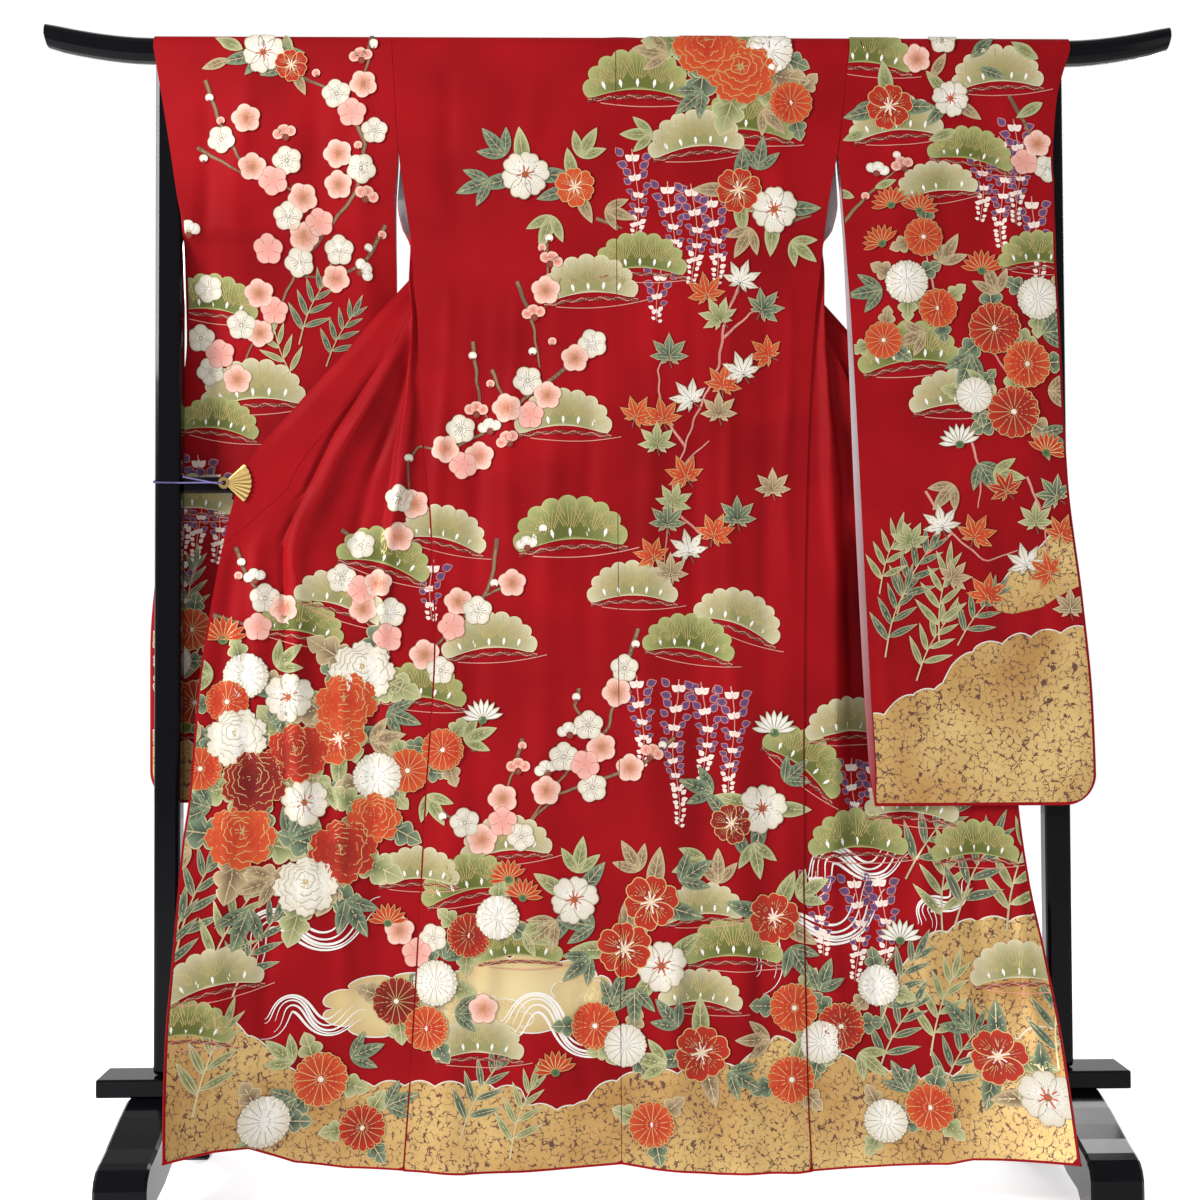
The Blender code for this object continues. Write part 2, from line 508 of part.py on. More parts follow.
def place(name, bm, finish):
    """Turn a bmesh into a named object with one material."""
    mesh = bpy.data.meshes.new(name)
    bm.to_mesh(mesh)
    bm.free()
    mesh.materials.append(finish)
    thing = bpy.data.objects.new(name, mesh)
    bpy.context.scene.collection.objects.link(thing)
    return thing


def cloth(name, grids, finish, wall=WALL):
    """Cloth from one or more grids of points: each cell is cut along its shorter diagonal,
    equal points are joined, and the surface gets a wall by Solidify, half to each side."""
    bm = bmesh.new()
    for grid in grids:
        rows, columns = grid.shape[:2]
        verts = [[bm.verts.new(grid[r, c]) for c in range(columns)] for r in range(rows)]
        for r in range(rows - 1):
            for c in range(columns - 1):
                a, b = verts[r][c], verts[r][c + 1]
                d, e = verts[r + 1][c], verts[r + 1][c + 1]
                if (a.co - e.co).length <= (b.co - d.co).length:
                    bm.faces.new((a, b, e))
                    bm.faces.new((a, e, d))
                else:
                    bm.faces.new((a, b, d))
                    bm.faces.new((b, e, d))
    bmesh.ops.remove_doubles(bm, verts=bm.verts, dist=1e-6)
    bmesh.ops.dissolve_degenerate(bm, edges=bm.edges, dist=1e-7)
    bmesh.ops.recalc_face_normals(bm, faces=bm.faces)
    piece = place(name, bm, finish)
    solid = piece.modifiers.new("wall", "SOLIDIFY")
    solid.thickness = wall
    solid.offset = 0.0
    solid.use_rim = True
    solid.use_even_offset = False
    piece.data.shade_smooth()
    return piece


def block(name, centre, size, bevel, finish, segments=2):
    """Rounded block."""
    bm = bmesh.new()
    bmesh.ops.create_cube(bm, size=1.0)
    for v in bm.verts:
        v.co.x *= size[0]
        v.co.y *= size[1]
        v.co.z *= size[2]
    piece = place(name, bm, finish)
    piece.location = centre
    soft = piece.modifiers.new("edges", "BEVEL")
    soft.width = bevel
    soft.segments = segments
    soft.limit_method = "ANGLE"
    piece.data.shade_smooth()
    piece.data.set_sharp_from_angle(angle=radians(40))
    return piece


def build_bar(finish):
    """Top bar: a rounded section swept along X, its ends turned up and rounded off."""
    around = 2 * BAR_STEPS
    steps = np.concatenate([spaced(-BAR_HALF, -BAR_HALF + BAR_BEND, 7), spaced(BAR_HALF - BAR_BEND, BAR_HALF, 7)])
    bm = bmesh.new()
    rings = []
    for x in steps:
        out = max(0.0, (abs(x) - (BAR_HALF - BAR_BEND)) / BAR_BEND)
        rise = BAR_RISE * out ** 1.7
        shrink = 0.0016 if abs(x) > BAR_HALF - 0.001 else 0.0
        side = 1 if x > 0 else -1
        ring = []
        for k in range(around):
            y, z = bar_section(2 * pi * k / around, -shrink)
            lean = 0.20 * out * (z - BAR_Z) * side
            ring.append(bm.verts.new((float(np.clip(x + lean, -BAR_HALF, BAR_HALF)), y, z + rise)))
        rings.append(ring)
    for first, second in zip(rings, rings[1:]):
        for k in range(around):
            n = (k + 1) % around
            bm.faces.new((first[k], first[n], second[n], second[k]))
    bm.faces.new(list(reversed(rings[0])))
    bm.faces.new(rings[-1])
    bmesh.ops.recalc_face_normals(bm, faces=bm.faces)
    piece = place("top_bar", bm, finish)
    piece.data.shade_smooth()
    piece.data.set_sharp_from_angle(angle=radians(50))
    return piece


def foot_outline():
    """Side view of a foot, from the plank out to the toe and back under the arch."""
    seat = PLANK_TOP - PLANK_THICK - FIT
    half = FOOT_HALF
    top = [(PLANK_DEEP / 2 + 0.004, seat), (0.090, 0.1360), (0.130, 0.1240), (0.165, 0.1130)]
    toe_centre = (0.196, 0.070)
    reach = half - toe_centre[0]
    toe = [(toe_centre[0] + reach * sin(a), toe_centre[1] + 0.0345 * cos(a))
           for a in (radians(d) for d in (8, 32, 56, 80))]
    front = [(half, 0.045), (half - 0.001, 0.012), (half - 0.006, 0.0)]
    under = [(0.188, 0.0), (0.182, 0.030), (0.166, 0.044), (0.120, 0.051), (0.075, 0.065), (0.030, 0.076)]
    side = top + toe + front + under
    return side + [(-y, z) for y, z in reversed(side)]


def build_foot(name, x, finish):
    """Arched foot: the side view extruded over the foot's width, with softened edges."""
    bm = bmesh.new()
    outline = foot_outline()
    left = [bm.verts.new((-FOOT_WIDE / 2, y, z)) for y, z in outline]
    face = bm.faces.new(left)
    raised = bmesh.ops.extrude_face_region(bm, geom=[face])
    for v in (g for g in raised["geom"] if isinstance(g, bmesh.types.BMVert)):
        v.co.x += FOOT_WIDE
    bmesh.ops.recalc_face_normals(bm, faces=bm.faces)
    piece = place(name, bm, finish)
    piece.location.x = x
    soft = piece.modifiers.new("edges", "BEVEL")
    soft.width = 0.004
    soft.segments = 1
    soft.limit_method = "ANGLE"
    soft.angle_limit = radians(60)
    piece.data.shade_smooth()
    piece.data.set_sharp_from_angle(angle=radians(40))
    return piece


def clip_frame():
    """The clip's ring centre, beyond the cloth's edge, and the directions along, up and
    across the cloth there."""
    share = np.array([0.90, 0.97, 0.93, 0.93])
    z = np.array([CLIP_Z, CLIP_Z, CLIP_Z + 0.012, CLIP_Z - 0.012])
    inner, outer, high, low = front_point("left", share, z)
    along = (inner - outer) / np.linalg.norm(inner - outer)
    up = high - low
    up = up - along * (up @ along)
    up[0] = up[0] * 0.2
    up /= np.linalg.norm(up)
    along[2] = 0
    along = along - up * (along @ up)
    along /= np.linalg.norm(along)
    middle = front_point("left", np.array([0.93]), np.array([CLIP_Z]))[0]
    edge = front_point("left", np.array([1.0]), np.array([CLIP_Z]))[0]
    reach = (middle - edge) @ along + CLIP_BEYOND
    return middle - along * reach, along, up, np.cross(up, along)


def build_clip(finish):
    """Fan clip: a ribbed leaf in front of the cloth's edge and a plain one behind it, joined
    by a ring beyond the edge."""
    origin, along, up, across = clip_frame()
    off = BAND_WALL / 2 + 0.0008
    bm = bmesh.new()

    def at(reach, angle, depth):
        return bm.verts.new(origin + along * reach * cos(angle) + up * reach * sin(angle) - across * depth)

    def closed_sheet(lower, upper):
        """Two grids of corners, joined by faces and a rim."""
        rows, columns = len(lower), len(lower[0])
        for grid in (lower, upper):
            for r in range(rows - 1):
                for c in range(columns - 1):
                    bm.faces.new((grid[r][c], grid[r][c + 1], grid[r + 1][c + 1], grid[r + 1][c]))
        rims = []
        for grid in (lower, upper):
            rims.append(grid[0] + [row[-1] for row in grid[1:-1]] + grid[-1][::-1]
                        + [row[0] for row in grid[-2:0:-1]])
        for k in range(len(rims[0])):
            n = (k + 1) % len(rims[0])
            bm.faces.new((rims[0][k], rims[0][n], rims[1][n], rims[1][k]))

    angles = spaced(-CLIP_SPREAD / 2, CLIP_SPREAD / 2, 2 * CLIP_RIBS)
    for outward, ribbed in ((1, True), (-1, False)):
        lower = []
        upper = []
        for reach, swell in ((RING_OUT - 0.0012, 0.2), (CLIP_REACH, 1.0)):
            ridge = [(k % 2) * swell if ribbed else 0.0 for k in range(len(angles))]
            lower.append([at(reach, a, outward * off) for a in angles])
            upper.append([at(reach + 0.0012 * high * swell, a, outward * (off + CLIP_LEAF + RIB_RISE * high))
                          for a, high in zip(angles, ridge)])
        closed_sheet(lower, upper)
    bmesh.ops.recalc_face_normals(bm, faces=bm.faces)
    piece = place("clip", bm, finish)

    bm = bmesh.new()
    deep = off + CLIP_LEAF + 0.0006
    rings = []
    for radius, depth in ((RING_OUT, deep), (RING_OUT, -deep), (RING_IN, -deep), (RING_IN, deep)):
        rings.append([at(radius, 2 * pi * k / 20, depth) for k in range(20)])
    for k in range(20):
        n = (k + 1) % 20
        for first, second in zip(rings, rings[1:] + rings[:1]):
            bm.faces.new((first[k], first[n], second[n], second[k]))
    bmesh.ops.recalc_face_normals(bm, faces=bm.faces)
    ring = place("clip_ring_cutter", bm, finish)
    ring.hide_render = True
    ring.display_type = "WIRE"
    join = piece.modifiers.new("ring", "BOOLEAN")
    join.operation = "UNION"
    join.solver = "EXACT"
    join.object = ring
    return piece


def build_cord(finish):
    """Tie cord: one closed loop through the clip's ring, along to the left post, round it
    above the middle rail and back."""
    origin, along, up, across = clip_frame()
    r = CORD_RADIUS + FIT + 0.0002
    left = -POST_X - POST_WIDE / 2 - r
    right = -POST_X + POST_WIDE / 2 + r
    near = -POST_DEEP / 2 - r
    far = POST_DEEP / 2 + r
    over = RAIL_Z + RAIL_TALL / 2 + r + 0.0008
    deep = BAND_WALL / 2 + 0.0008 + CLIP_LEAF + 0.0006 + r
    beyond = origin - along * (RING_OUT + r)
    route = [
        origin - across * deep * 0.9 - along * 0.0014,
        origin - across * 0.0010,
        origin + across * deep * 0.9 - along * 0.0014,
        beyond + across * deep,
        (right + 0.0020, -RAIL_DEEP / 2 - r - 0.0030, over - 0.0030),
        (right + 0.0006, -RAIL_DEEP / 2 + 0.0010, over),
        (right, far - 0.0040, over),
        (right - 0.0040, far, over),
        (left + 0.0040, far, over),
        (left, far - 0.0040, over - 0.0010),
        (left, near + 0.0040, CLIP_Z + 0.0040),
        (left + 0.0040, near, CLIP_Z + 0.0036),
        (right - 0.0040, near, CLIP_Z + 0.0030),
        beyond - across * deep,
    ]
    route = [np.asarray(p, float) for p in route]
    count = len(route)
    bm = bmesh.new()
    rings = []
    normal = np.array([0.0, 0.0, 1.0])
    for k, point in enumerate(route):
        before = point - route[k - 1]
        after = route[(k + 1) % count] - point
        before /= np.linalg.norm(before)
        after /= np.linalg.norm(after)
        ahead = before + after
        ahead /= np.linalg.norm(ahead)
        level = normal - ahead * (normal @ ahead)
        level /= np.linalg.norm(level)
        side = np.cross(ahead, level)
        bend = np.cross(before, after)
        stretch = 1 / max(ahead @ before, 0.6)
        out = before - after
        size = np.linalg.norm(out)
        rings.append([])
        for j in range(8):
            a = 2 * pi * j / 8
            offset = (level * cos(a) + side * sin(a)) * CORD_RADIUS
            if size > 0.05:
                along_out = out / size
                offset = offset + along_out * (offset @ along_out) * (stretch - 1)
            rings[-1].append(bm.verts.new(point + offset))
    for k in range(count):
        first, second = rings[k], rings[(k + 1) % count]
        for j in range(8):
            n = (j + 1) % 8
            bm.faces.new((first[j], first[n], second[n], second[j]))
    bmesh.ops.recalc_face_normals(bm, faces=bm.faces)
    piece = place("tie_cord", bm, finish)
    piece.data.shade_smooth()
    return piece


def build_stand(lacquer):
    """Bar, posts, middle rail, stretcher plank and feet."""
    build_bar(lacquer)
    foot_of_post = PLANK_TOP + FIT
    head_of_post = BAR_Z - BAR_TALL / 2 - FIT
    for name, x in (("post_left", -POST_X), ("post_right", POST_X)):
        tall = head_of_post - foot_of_post
        block(name, (x, 0, foot_of_post + tall / 2), (POST_WIDE, POST_DEEP, tall), 0.006, lacquer)
    span = 2 * (POST_X - POST_WIDE / 2 - FIT)
    block("middle_rail", (0, 0, RAIL_Z), (span, RAIL_DEEP, RAIL_TALL), 0.003, lacquer)
    block("stretcher_plank", (0, 0, PLANK_TOP - PLANK_THICK / 2),
          (2 * PLANK_HALF, PLANK_DEEP, PLANK_THICK), 0.0025, lacquer)
    build_foot("foot_left", -FOOT_X, lacquer)
    build_foot("foot_right", FOOT_X, lacquer)


def build_garment(red):
    """Two body panels, two okumi, two sleeves and the collar in three stretches."""
    for side in ("left", "right"):
        cloth("body_" + side, body_grids(side), red)
        cloth("okumi_" + side, [okumi_grid(side)], red)
        cloth("sleeve_" + side, sleeve_grids(side), red)
        cloth("collar_" + side, [collar_grid(side)], red, BAND_WALL)
    cloth("collar_back", [back_collar_grid()], red, BAND_WALL)


def main():
    for thing in list(bpy.data.objects):
        bpy.data.objects.remove(thing, do_unlink=True)
    lacquer = material("black_lacquer", (0.006, 0.006, 0.008), 0.12)
    red = material("red_crepe_silk", (0.42, 0.010, 0.014), 0.62)
    brass = material("gold_metal", (0.62, 0.47, 0.20), 0.30, 1.0)
    purple = material("purple_silk_cord", (0.045, 0.018, 0.20), 0.55)
    build_stand(lacquer)
    build_garment(red)
    build_clip(brass)
    build_cord(purple)


main()
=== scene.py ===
"""Looks of a furisode spread on a lacquered kimono stand.

Metres, +Z up, the floor at z = 0. The garment's back faces -Y, towards the viewer. The
cloth repeats the solids' formulas on a finer mesh, with creases and the fronts' larger folds
added. The print lies on it in thin patches, laid out in centimetres: x from the stand's
middle, z up.
"""
from math import cos, pi, radians, sin

import bpy
import numpy as np
from mathutils import Matrix, Vector


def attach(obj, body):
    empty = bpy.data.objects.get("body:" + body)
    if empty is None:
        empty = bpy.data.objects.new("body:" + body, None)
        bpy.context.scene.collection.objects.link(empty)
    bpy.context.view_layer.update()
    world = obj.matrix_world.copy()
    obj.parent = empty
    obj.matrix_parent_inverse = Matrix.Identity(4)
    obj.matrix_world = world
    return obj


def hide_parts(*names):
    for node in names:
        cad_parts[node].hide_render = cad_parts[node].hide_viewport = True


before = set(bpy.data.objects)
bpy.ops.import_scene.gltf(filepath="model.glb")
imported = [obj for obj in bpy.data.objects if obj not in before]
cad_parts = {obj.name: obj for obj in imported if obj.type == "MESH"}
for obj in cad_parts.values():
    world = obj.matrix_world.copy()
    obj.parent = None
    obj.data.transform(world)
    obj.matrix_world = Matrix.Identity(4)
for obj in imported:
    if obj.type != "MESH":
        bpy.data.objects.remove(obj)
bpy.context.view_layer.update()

# driving sizes of the stand
BAR_Z = 1.628              # centre of the straight stretch of the top bar
BAR_TALL = 0.036
BAR_DEEP = 0.034
POST_X = 0.631             # centre line of each post
POST_WIDE = 0.037
POST_DEEP = 0.034
RAIL_Z = 1.0045            # centre of the middle rail
RAIL_TALL = 0.0225
RAIL_DEEP = 0.018
FIT = 0.0003               # gap between pieces that touch

# driving sizes of the cloth
WALL = 0.0016              # cloth, lined
BAND_WALL = 0.0024         # collar band, folded double
SEAM = 0.00002             # the cloth's pieces all but touch at a seam
ON_BAR = 0.0005            # cloth clear of the bar it hangs on
LAP = 0.0020               # how far the front reaches behind the back at the side seam
CENTRE_X = 0.0060          # centre back seam
NECK_HALF = 0.0917         # neck opening, from the centre seam
SHOULDER_Z = BAR_Z         # height where the cloth leaves the bar
SEAM_TOP = 1.336           # side seams start here, the side openings are above
TUCK_Z = 1.2975            # tuck sewn across the back
TUCK_STEP = 0.0012
ON_BAR_WALL = ON_BAR + WALL / 2
BAR_SQUARE = 0.80          # power of the bar's section: 1 is an ellipse, less is squarer

# back of the body: height, side edge of the left and right panel, depth
BACK_ROWS = {
    "z": (1.628, 1.474, 1.42, 1.336, 1.223, 1.123, 0.967, 0.79, 0.558, 0.417, 0.173, 0.04),
    "left": (-0.3132, -0.3034, -0.2965, -0.285, -0.2766, -0.274, -0.26, -0.253, -0.266, -0.2735, -0.2868,
        -0.2965),
    "right": (0.34, 0.3222, 0.3115, 0.3, 0.2872, 0.28, 0.2735, 0.269, 0.2663, 0.2645, 0.266, 0.2705),
    "depth": (-0.0186, -0.02, -0.0203, -0.0208, -0.0215, -0.0225, -0.024, -0.0265, -0.032, -0.037, -0.05,
        -0.056),
}
# soft folds of the back: place at the tuck and at the hem, where it starts, half width, height
BACK_FOLDS = {
    "x_top": (-0.215, -0.12, 0.06, 0.165, 0.235),
    "x_hem": (-0.235, -0.13, 0.085, 0.18, 0.245),
    "z_top": (0.95, 0.7, 0.8, 1.1, 0.75),
    "half": (0.026, 0.034, 0.03, 0.026, 0.018),
    "high": (0.006, 0.0045, 0.005, 0.006, 0.004),
}
# hem height along the garment's width
HEM = {
    "x": (-0.6, -0.54, -0.5, -0.443, -0.376, -0.296, -0.212, -0.089, 0.006, 0.052, 0.141, 0.254, 0.355,
        0.455, 0.483, 0.52, 0.61),
    "z": (0.101, 0.1023, 0.099, 0.0717, 0.0573, 0.0504, 0.045, 0.05, 0.057, 0.049, 0.0415, 0.0425, 0.0511,
        0.0625, 0.0725, 0.0782, 0.0895),
}
# the fronts hang behind the bar and are swung outwards like pages below the side openings
# free side edge above the side seam
FREE_EDGE = {
    "left": {
        "z": (1.628, 1.54, 1.474, 1.41, 1.37, 1.336),
        "x": (-0.313, -0.3085, -0.3045, -0.3065, -0.299, -0.281),
        "y": (0.0186, 0.0178, 0.012, -0.002, -0.011, -0.0188),
    },
    "right": {
        "z": (1.628, 1.54, 1.474, 1.41, 1.37, 1.336),
        "x": (0.3398, 0.3305, 0.3235, 0.3245, 0.316, 0.296),
        "y": (0.0186, 0.015, 0.005, -0.006, -0.0125, -0.0188),
    },
}
# outer edge: the collar's folded edge from the neck down, then the edge of the okumi
OUTER_EDGE = {
    "left": {
        "z": (1.628, 1.54, 1.474, 1.41, 1.36, 1.308, 1.24, 1.2, 1.122, 1.022, 0.97, 0.906, 0.816, 0.727,
            0.566, 0.502, 0.414, 0.322, 0.263, 0.178, 0.095),
        "x": (-0.034, -0.104, -0.1567, -0.2077, -0.2476, -0.289, -0.344, -0.3745, -0.4421, -0.5185,
            -0.535, -0.5495, -0.5664, -0.5791, -0.5896, -0.5959, -0.5997, -0.6023, -0.6045, -0.6015,
            -0.5955),
        "y": (0.0186, 0.021, 0.026, 0.032, 0.035, 0.025, -0.003, -0.013, -0.026, -0.041, -0.044, -0.045,
            -0.045, -0.05, -0.065, -0.08, -0.1, -0.125, -0.14, -0.17, -0.2),
    },
    "right": {
        "z": (1.628, 1.54, 1.474, 1.41, 1.36, 1.308, 1.26, 1.22, 1.122, 1.03, 0.97, 0.85, 0.727, 0.6,
            0.545, 0.444, 0.352, 0.226, 0.08),
        "x": (0.046, 0.108, 0.154, 0.2, 0.236, 0.2735, 0.311, 0.342, 0.422, 0.49, 0.515, 0.542, 0.558,
            0.568, 0.5713, 0.5779, 0.5898, 0.601, 0.6045),
        "y": (0.0186, 0.021, 0.026, 0.032, 0.035, 0.0265, 0.007, -0.007, -0.019, -0.0205, -0.021, -0.0215,
            -0.0225, -0.024, -0.027, -0.056, -0.088, -0.14, -0.207),
    },
}
# shares of the way from the side edge to the outer edge where the okumi and the collar start
SEAM_SHARES = {
    "left": {
        "z": (1.628, 1.54, 1.474, 1.41, 1.36, 1.308, 1.28, 1.24, 1.2, 1.149, 1.095, 1.03, 0.938, 0.906,
            0.85, 0.735, 0.571, 0.415, 0.268, 0.09),
        "okumi": (0.815, 0.7, 0.58, 0.49, 0.46, 0.45, 0.44, 0.385, 0.37, 0.381, 0.436, 0.515, 0.644,
            0.661, 0.617, 0.588, 0.604, 0.606, 0.624, 0.679),
        "collar": (0.815, 0.7, 0.58, 0.49, 0.46, 0.455, 0.455, 0.45, 0.46, 0.525, 0.62, 0.714, 0.775,
            0.79, 0.8, 0.8, 0.8, 0.8, 0.8, 0.8),
    },
    "right": {
        "z": (1.628, 1.54, 1.474, 1.41, 1.36, 1.308, 1.28, 1.24, 1.2, 1.149, 1.095, 1.03, 0.938, 0.85,
            0.735, 0.571, 0.415, 0.268, 0.07),
        "okumi": (0.828, 0.7, 0.58, 0.49, 0.46, 0.45, 0.44, 0.385, 0.385, 0.41, 0.45, 0.52, 0.59, 0.59,
            0.58, 0.565, 0.58, 0.62, 0.642),
        "collar": (0.828, 0.7, 0.58, 0.49, 0.46, 0.455, 0.455, 0.45, 0.47, 0.54, 0.625, 0.69, 0.74, 0.76,
            0.76, 0.76, 0.76, 0.76, 0.76),
    },
}
# the turn: how far the front swells inwards and rearwards where it turns over
TURN = {
    "z": (1.628, 1.5, 1.41, 1.36, 1.336, 1.3, 1.27, 1.24, 1.2, 1.15, 1.08),
    "inward": (0, 0.002, 0.007, 0.014, 0.024, 0.03, 0.027, 0.018, 0.008, 0, 0),
    "rear_left": (0, 0, 0.006, 0.01, 0.012, 0.012, 0.01, 0.007, 0.003, 0, 0),
    "rear_right": (0, 0, 0.006, 0.01, 0.012, 0.013, 0.012, 0.01, 0.0075, 0.004, 0),
}
# folds that radiate from the top of the side seam: the strip beside the seam, moved out and
# forwards, and the fold that covers the okumi seam
RADIAL = {
    "z": (1.4, 1.336, 1.3, 1.24, 1.18, 1.1, 1, 0.93, 0.86),
    "out_left": (0, 0.016, 0.0195, 0.008, 0.002, 0, 0, 0, 0),
    "out_right": (0, 0.018, 0.0235, 0.017, 0.012, 0.0085, 0.006, 0.004, 0),
    "strip": (0, 0.0055, 0.008, 0.008, 0.0065, 0.006, 0.0055, 0.0025, 0),
    "cover": (0, 0, 0, 0, 0.004, 0.0055, 0.005, 0.002, 0),
}
# shares of the front's width: where the strip starts to rise, its fold, where it has stepped back
STRIP = (0.10, 0.31, 0.39)
# the outer edge rolled rearwards
EDGE_ROLL = {"z": (1.340, 1.250, 1.100, 1.045), "back": (0.0, 0.0045, 0.0045, 0.0)}
COLLAR_ROWS = (1.600, 0.985)   # heights of the collar's first and last full row
ROWS_END = 0.075           # height to which the front's rows are shared out
HEM_NEAR = 0.05            # height at which the back's width is read for its hem
SLEEVE_CLOSES = 0.06       # height over which the sleeve's layers close below the wrist opening
SLEEVE_FOOT = 0.05         # height over which they close at its foot
# pull folds of the okumi below the clip: place across, half width, height
PULL_FOLDS = {"v": (0.22, 0.52, 0.80), "half": (0.12, 0.12, 0.10), "high": (-0.0040, 0.0050, -0.0045)}
PULL_Z = (0.45, 0.86, 0.97)    # where the pull starts, is full and ends

# sleeves: where the wrist opening closes, the foot and the rounding of its corner, and the
# edges of the near layer (towards -Y) and the far layer
SLEEVES = {
    "left": {
        "wrist_end": 1.345,
        "bottom": 0.552,
        "corner": 0.045,
        "z": (1.628, 1.54, 1.474, 1.41, 1.375, 1.345, 1.3, 1.22, 1.15, 1, 0.77, 0.552),
        "inner_near_x": (-0.3136, -0.3088, -0.305, -0.3108, -0.3114, -0.3115, -0.3115, -0.3118, -0.312,
            -0.312, -0.312, -0.312),
        "inner_far_x": (-0.3138, -0.31, -0.3066, -0.311, -0.3117, -0.312, -0.312, -0.3123, -0.3125,
            -0.3125, -0.3125, -0.3125),
        "inner_near_y": (-0.0186, -0.0192, -0.0195, -0.003, 0.011, 0.022, 0.0335, 0.037, 0.0345, 0.03,
            0.0275, 0.029),
        "inner_far_y": (0.0186, 0.018, 0.015, 0.027, 0.035, 0.041, 0.0465, 0.049, 0.0475, 0.044, 0.0425,
            0.041),
        "outer_near_x": (-0.652, -0.637, -0.6265, -0.617, -0.6108, -0.6106, -0.6106, -0.611, -0.619,
            -0.64, -0.665, -0.6645),
        "outer_far_x": (-0.652, -0.637, -0.6265, -0.617, -0.6108, -0.6106, -0.6106, -0.611, -0.619, -0.64,
            -0.665, -0.6645),
        "outer_near_y": (-0.0186, -0.019, -0.0198, -0.0198, -0.019, 0, 0.009, 0.022, 0.03, 0.034, 0.035,
            0.035),
        "outer_far_y": (0.0186, 0.019, 0.0202, 0.0206, 0.0195, 0, 0.009, 0.022, 0.03, 0.034, 0.035, 0.035),
    },
    "right": {
        "wrist_end": 1.42,
        "bottom": 0.547,
        "corner": 0.045,
        "z": (1.628, 1.56, 1.5, 1.474, 1.45, 1.432, 1.42, 1.335, 1.219, 1.006, 0.836, 0.694, 0.547),
        "inner_near_x": (0.3403, 0.3328, 0.326, 0.324, 0.325, 0.326, 0.3265, 0.331, 0.3377, 0.3475,
            0.3545, 0.3605, 0.369),
        "inner_far_x": (0.3405, 0.3336, 0.3272, 0.3252, 0.3252, 0.3256, 0.3258, 0.329, 0.333, 0.34,
            0.3465, 0.353, 0.362),
        "inner_near_y": (-0.0186, -0.0193, -0.02, -0.0205, -0.025, -0.0282, -0.03, -0.039, -0.043, -0.043,
            -0.043, -0.043, -0.041),
        "inner_far_y": (0.0186, 0.017, 0.01, 0.006, -0.004, -0.012, -0.016, -0.029, -0.0315, -0.0318,
            -0.0318, -0.0318, -0.033),
        "outer_near_x": (0.66, 0.64, 0.6335, 0.6315, 0.6305, 0.6302, 0.6301, 0.6302, 0.6347, 0.6435,
            0.6628, 0.6753, 0.6798),
        "outer_far_x": (0.656, 0.602, 0.598, 0.6, 0.609, 0.627, 0.6301, 0.6302, 0.6347, 0.6435, 0.6628,
            0.6753, 0.6798),
        "outer_near_y": (-0.0186, -0.02, -0.022, -0.024, -0.028, -0.0325, -0.032, -0.0365, -0.0375,
            -0.0375, -0.0375, -0.0375, -0.0375),
        "outer_far_y": (0.0186, 0.0186, 0.003, -0.008, -0.019, -0.0258, -0.032, -0.0365, -0.0375, -0.0375,
            -0.0375, -0.0375, -0.0375),
    },
}

CLIP_Z = 1.0035            # height of the clip's ring
CLIP_BEYOND = 0.0205       # from the cloth's edge to the ring's centre
CLIP_LEAF = 0.0014         # thickness of a leaf
RING_OUT = 0.0080          # outer radius of the ring
CORD_RADIUS = 0.0012
CORD_STEP = 0.0012         # length of one step of the cord's mesh
PLY_TURN = 0.009           # length in which the cord's plies go round once

COLLAR_GAP = 0.0008        # between the collar's stretches at the neck
NECK_RISE = 0.0022         # the collar stands up a little over the middle of the bar
NECK_RISE_X = 0.015        # the middle of that rise
NECK_RISE_HALF = 0.035     # and its half width

# mesh of the cloth: columns of a body panel from the neck to the side, as shares of the
# front's width from the side edge, of the okumi and of the collar
FRONT_SHARES = (0.0, 0.10, 0.20, 0.31, 0.37, 0.45, 0.56, 0.70, 0.85, 1.0)
OKUMI_SHARES = (0.0, 0.12, 0.30, 0.50, 0.70, 0.86, 1.0)
COLLAR_SHARES = (0.0, 0.38, 0.72, 1.0)
NECK_CELLS = 3             # cells of the back between the centre seam and the neck corner
BAR_STEPS = 16             # steps over the bar
SLEEVE_COLUMNS = 9
WRIST_TACK = 0.012         # height of the row where the wrist opening closes
OKUMI_TOP = {"left": 1.262, "right": 1.235}   # height of each okumi's point

DEPTH_OF_CREASES = 1.5     # scales all the small creases
# small creases: x and z where each starts at the top, where it ends below, half width, height
CREASES_BACK = ((-0.235, 1.29, -0.262, 0.6, 0.011, 0.0026), (-0.186, 1.285, -0.205, 0.3, 0.017, -0.003),
    (-0.14, 1.28, -0.152, 0.75, 0.012, 0.0022), (-0.08, 1.29, -0.11, 0.12, 0.02, 0.0034),
    (-0.03, 1.27, -0.04, 0.5, 0.014, -0.0022), (0.055, 1.28, 0.04, 0.2, 0.018, 0.003),
    (0.11, 1.285, 0.13, 0.05, 0.016, -0.0028), (0.16, 1.28, 0.172, 0.45, 0.011, 0.0026),
    (0.215, 1.285, 0.222, 0.1, 0.015, -0.003), (0.25, 1.29, 0.246, 0.7, 0.009, 0.0024),
    (-0.24, 1.6, -0.215, 1.31, 0.016, -0.002), (-0.11, 1.59, -0.14, 1.31, 0.02, 0.002),
    (0.09, 1.6, 0.06, 1.31, 0.018, -0.0018), (0.23, 1.6, 0.25, 1.31, 0.016, 0.0024),
    (-0.18, 0.42, -0.17, 0.05, 0.018, 0.004), (-0.05, 0.36, -0.035, 0.05, 0.015, -0.0036),
    (0.085, 0.4, 0.08, 0.05, 0.016, 0.004), (0.205, 0.44, 0.2, 0.05, 0.014, -0.0036))
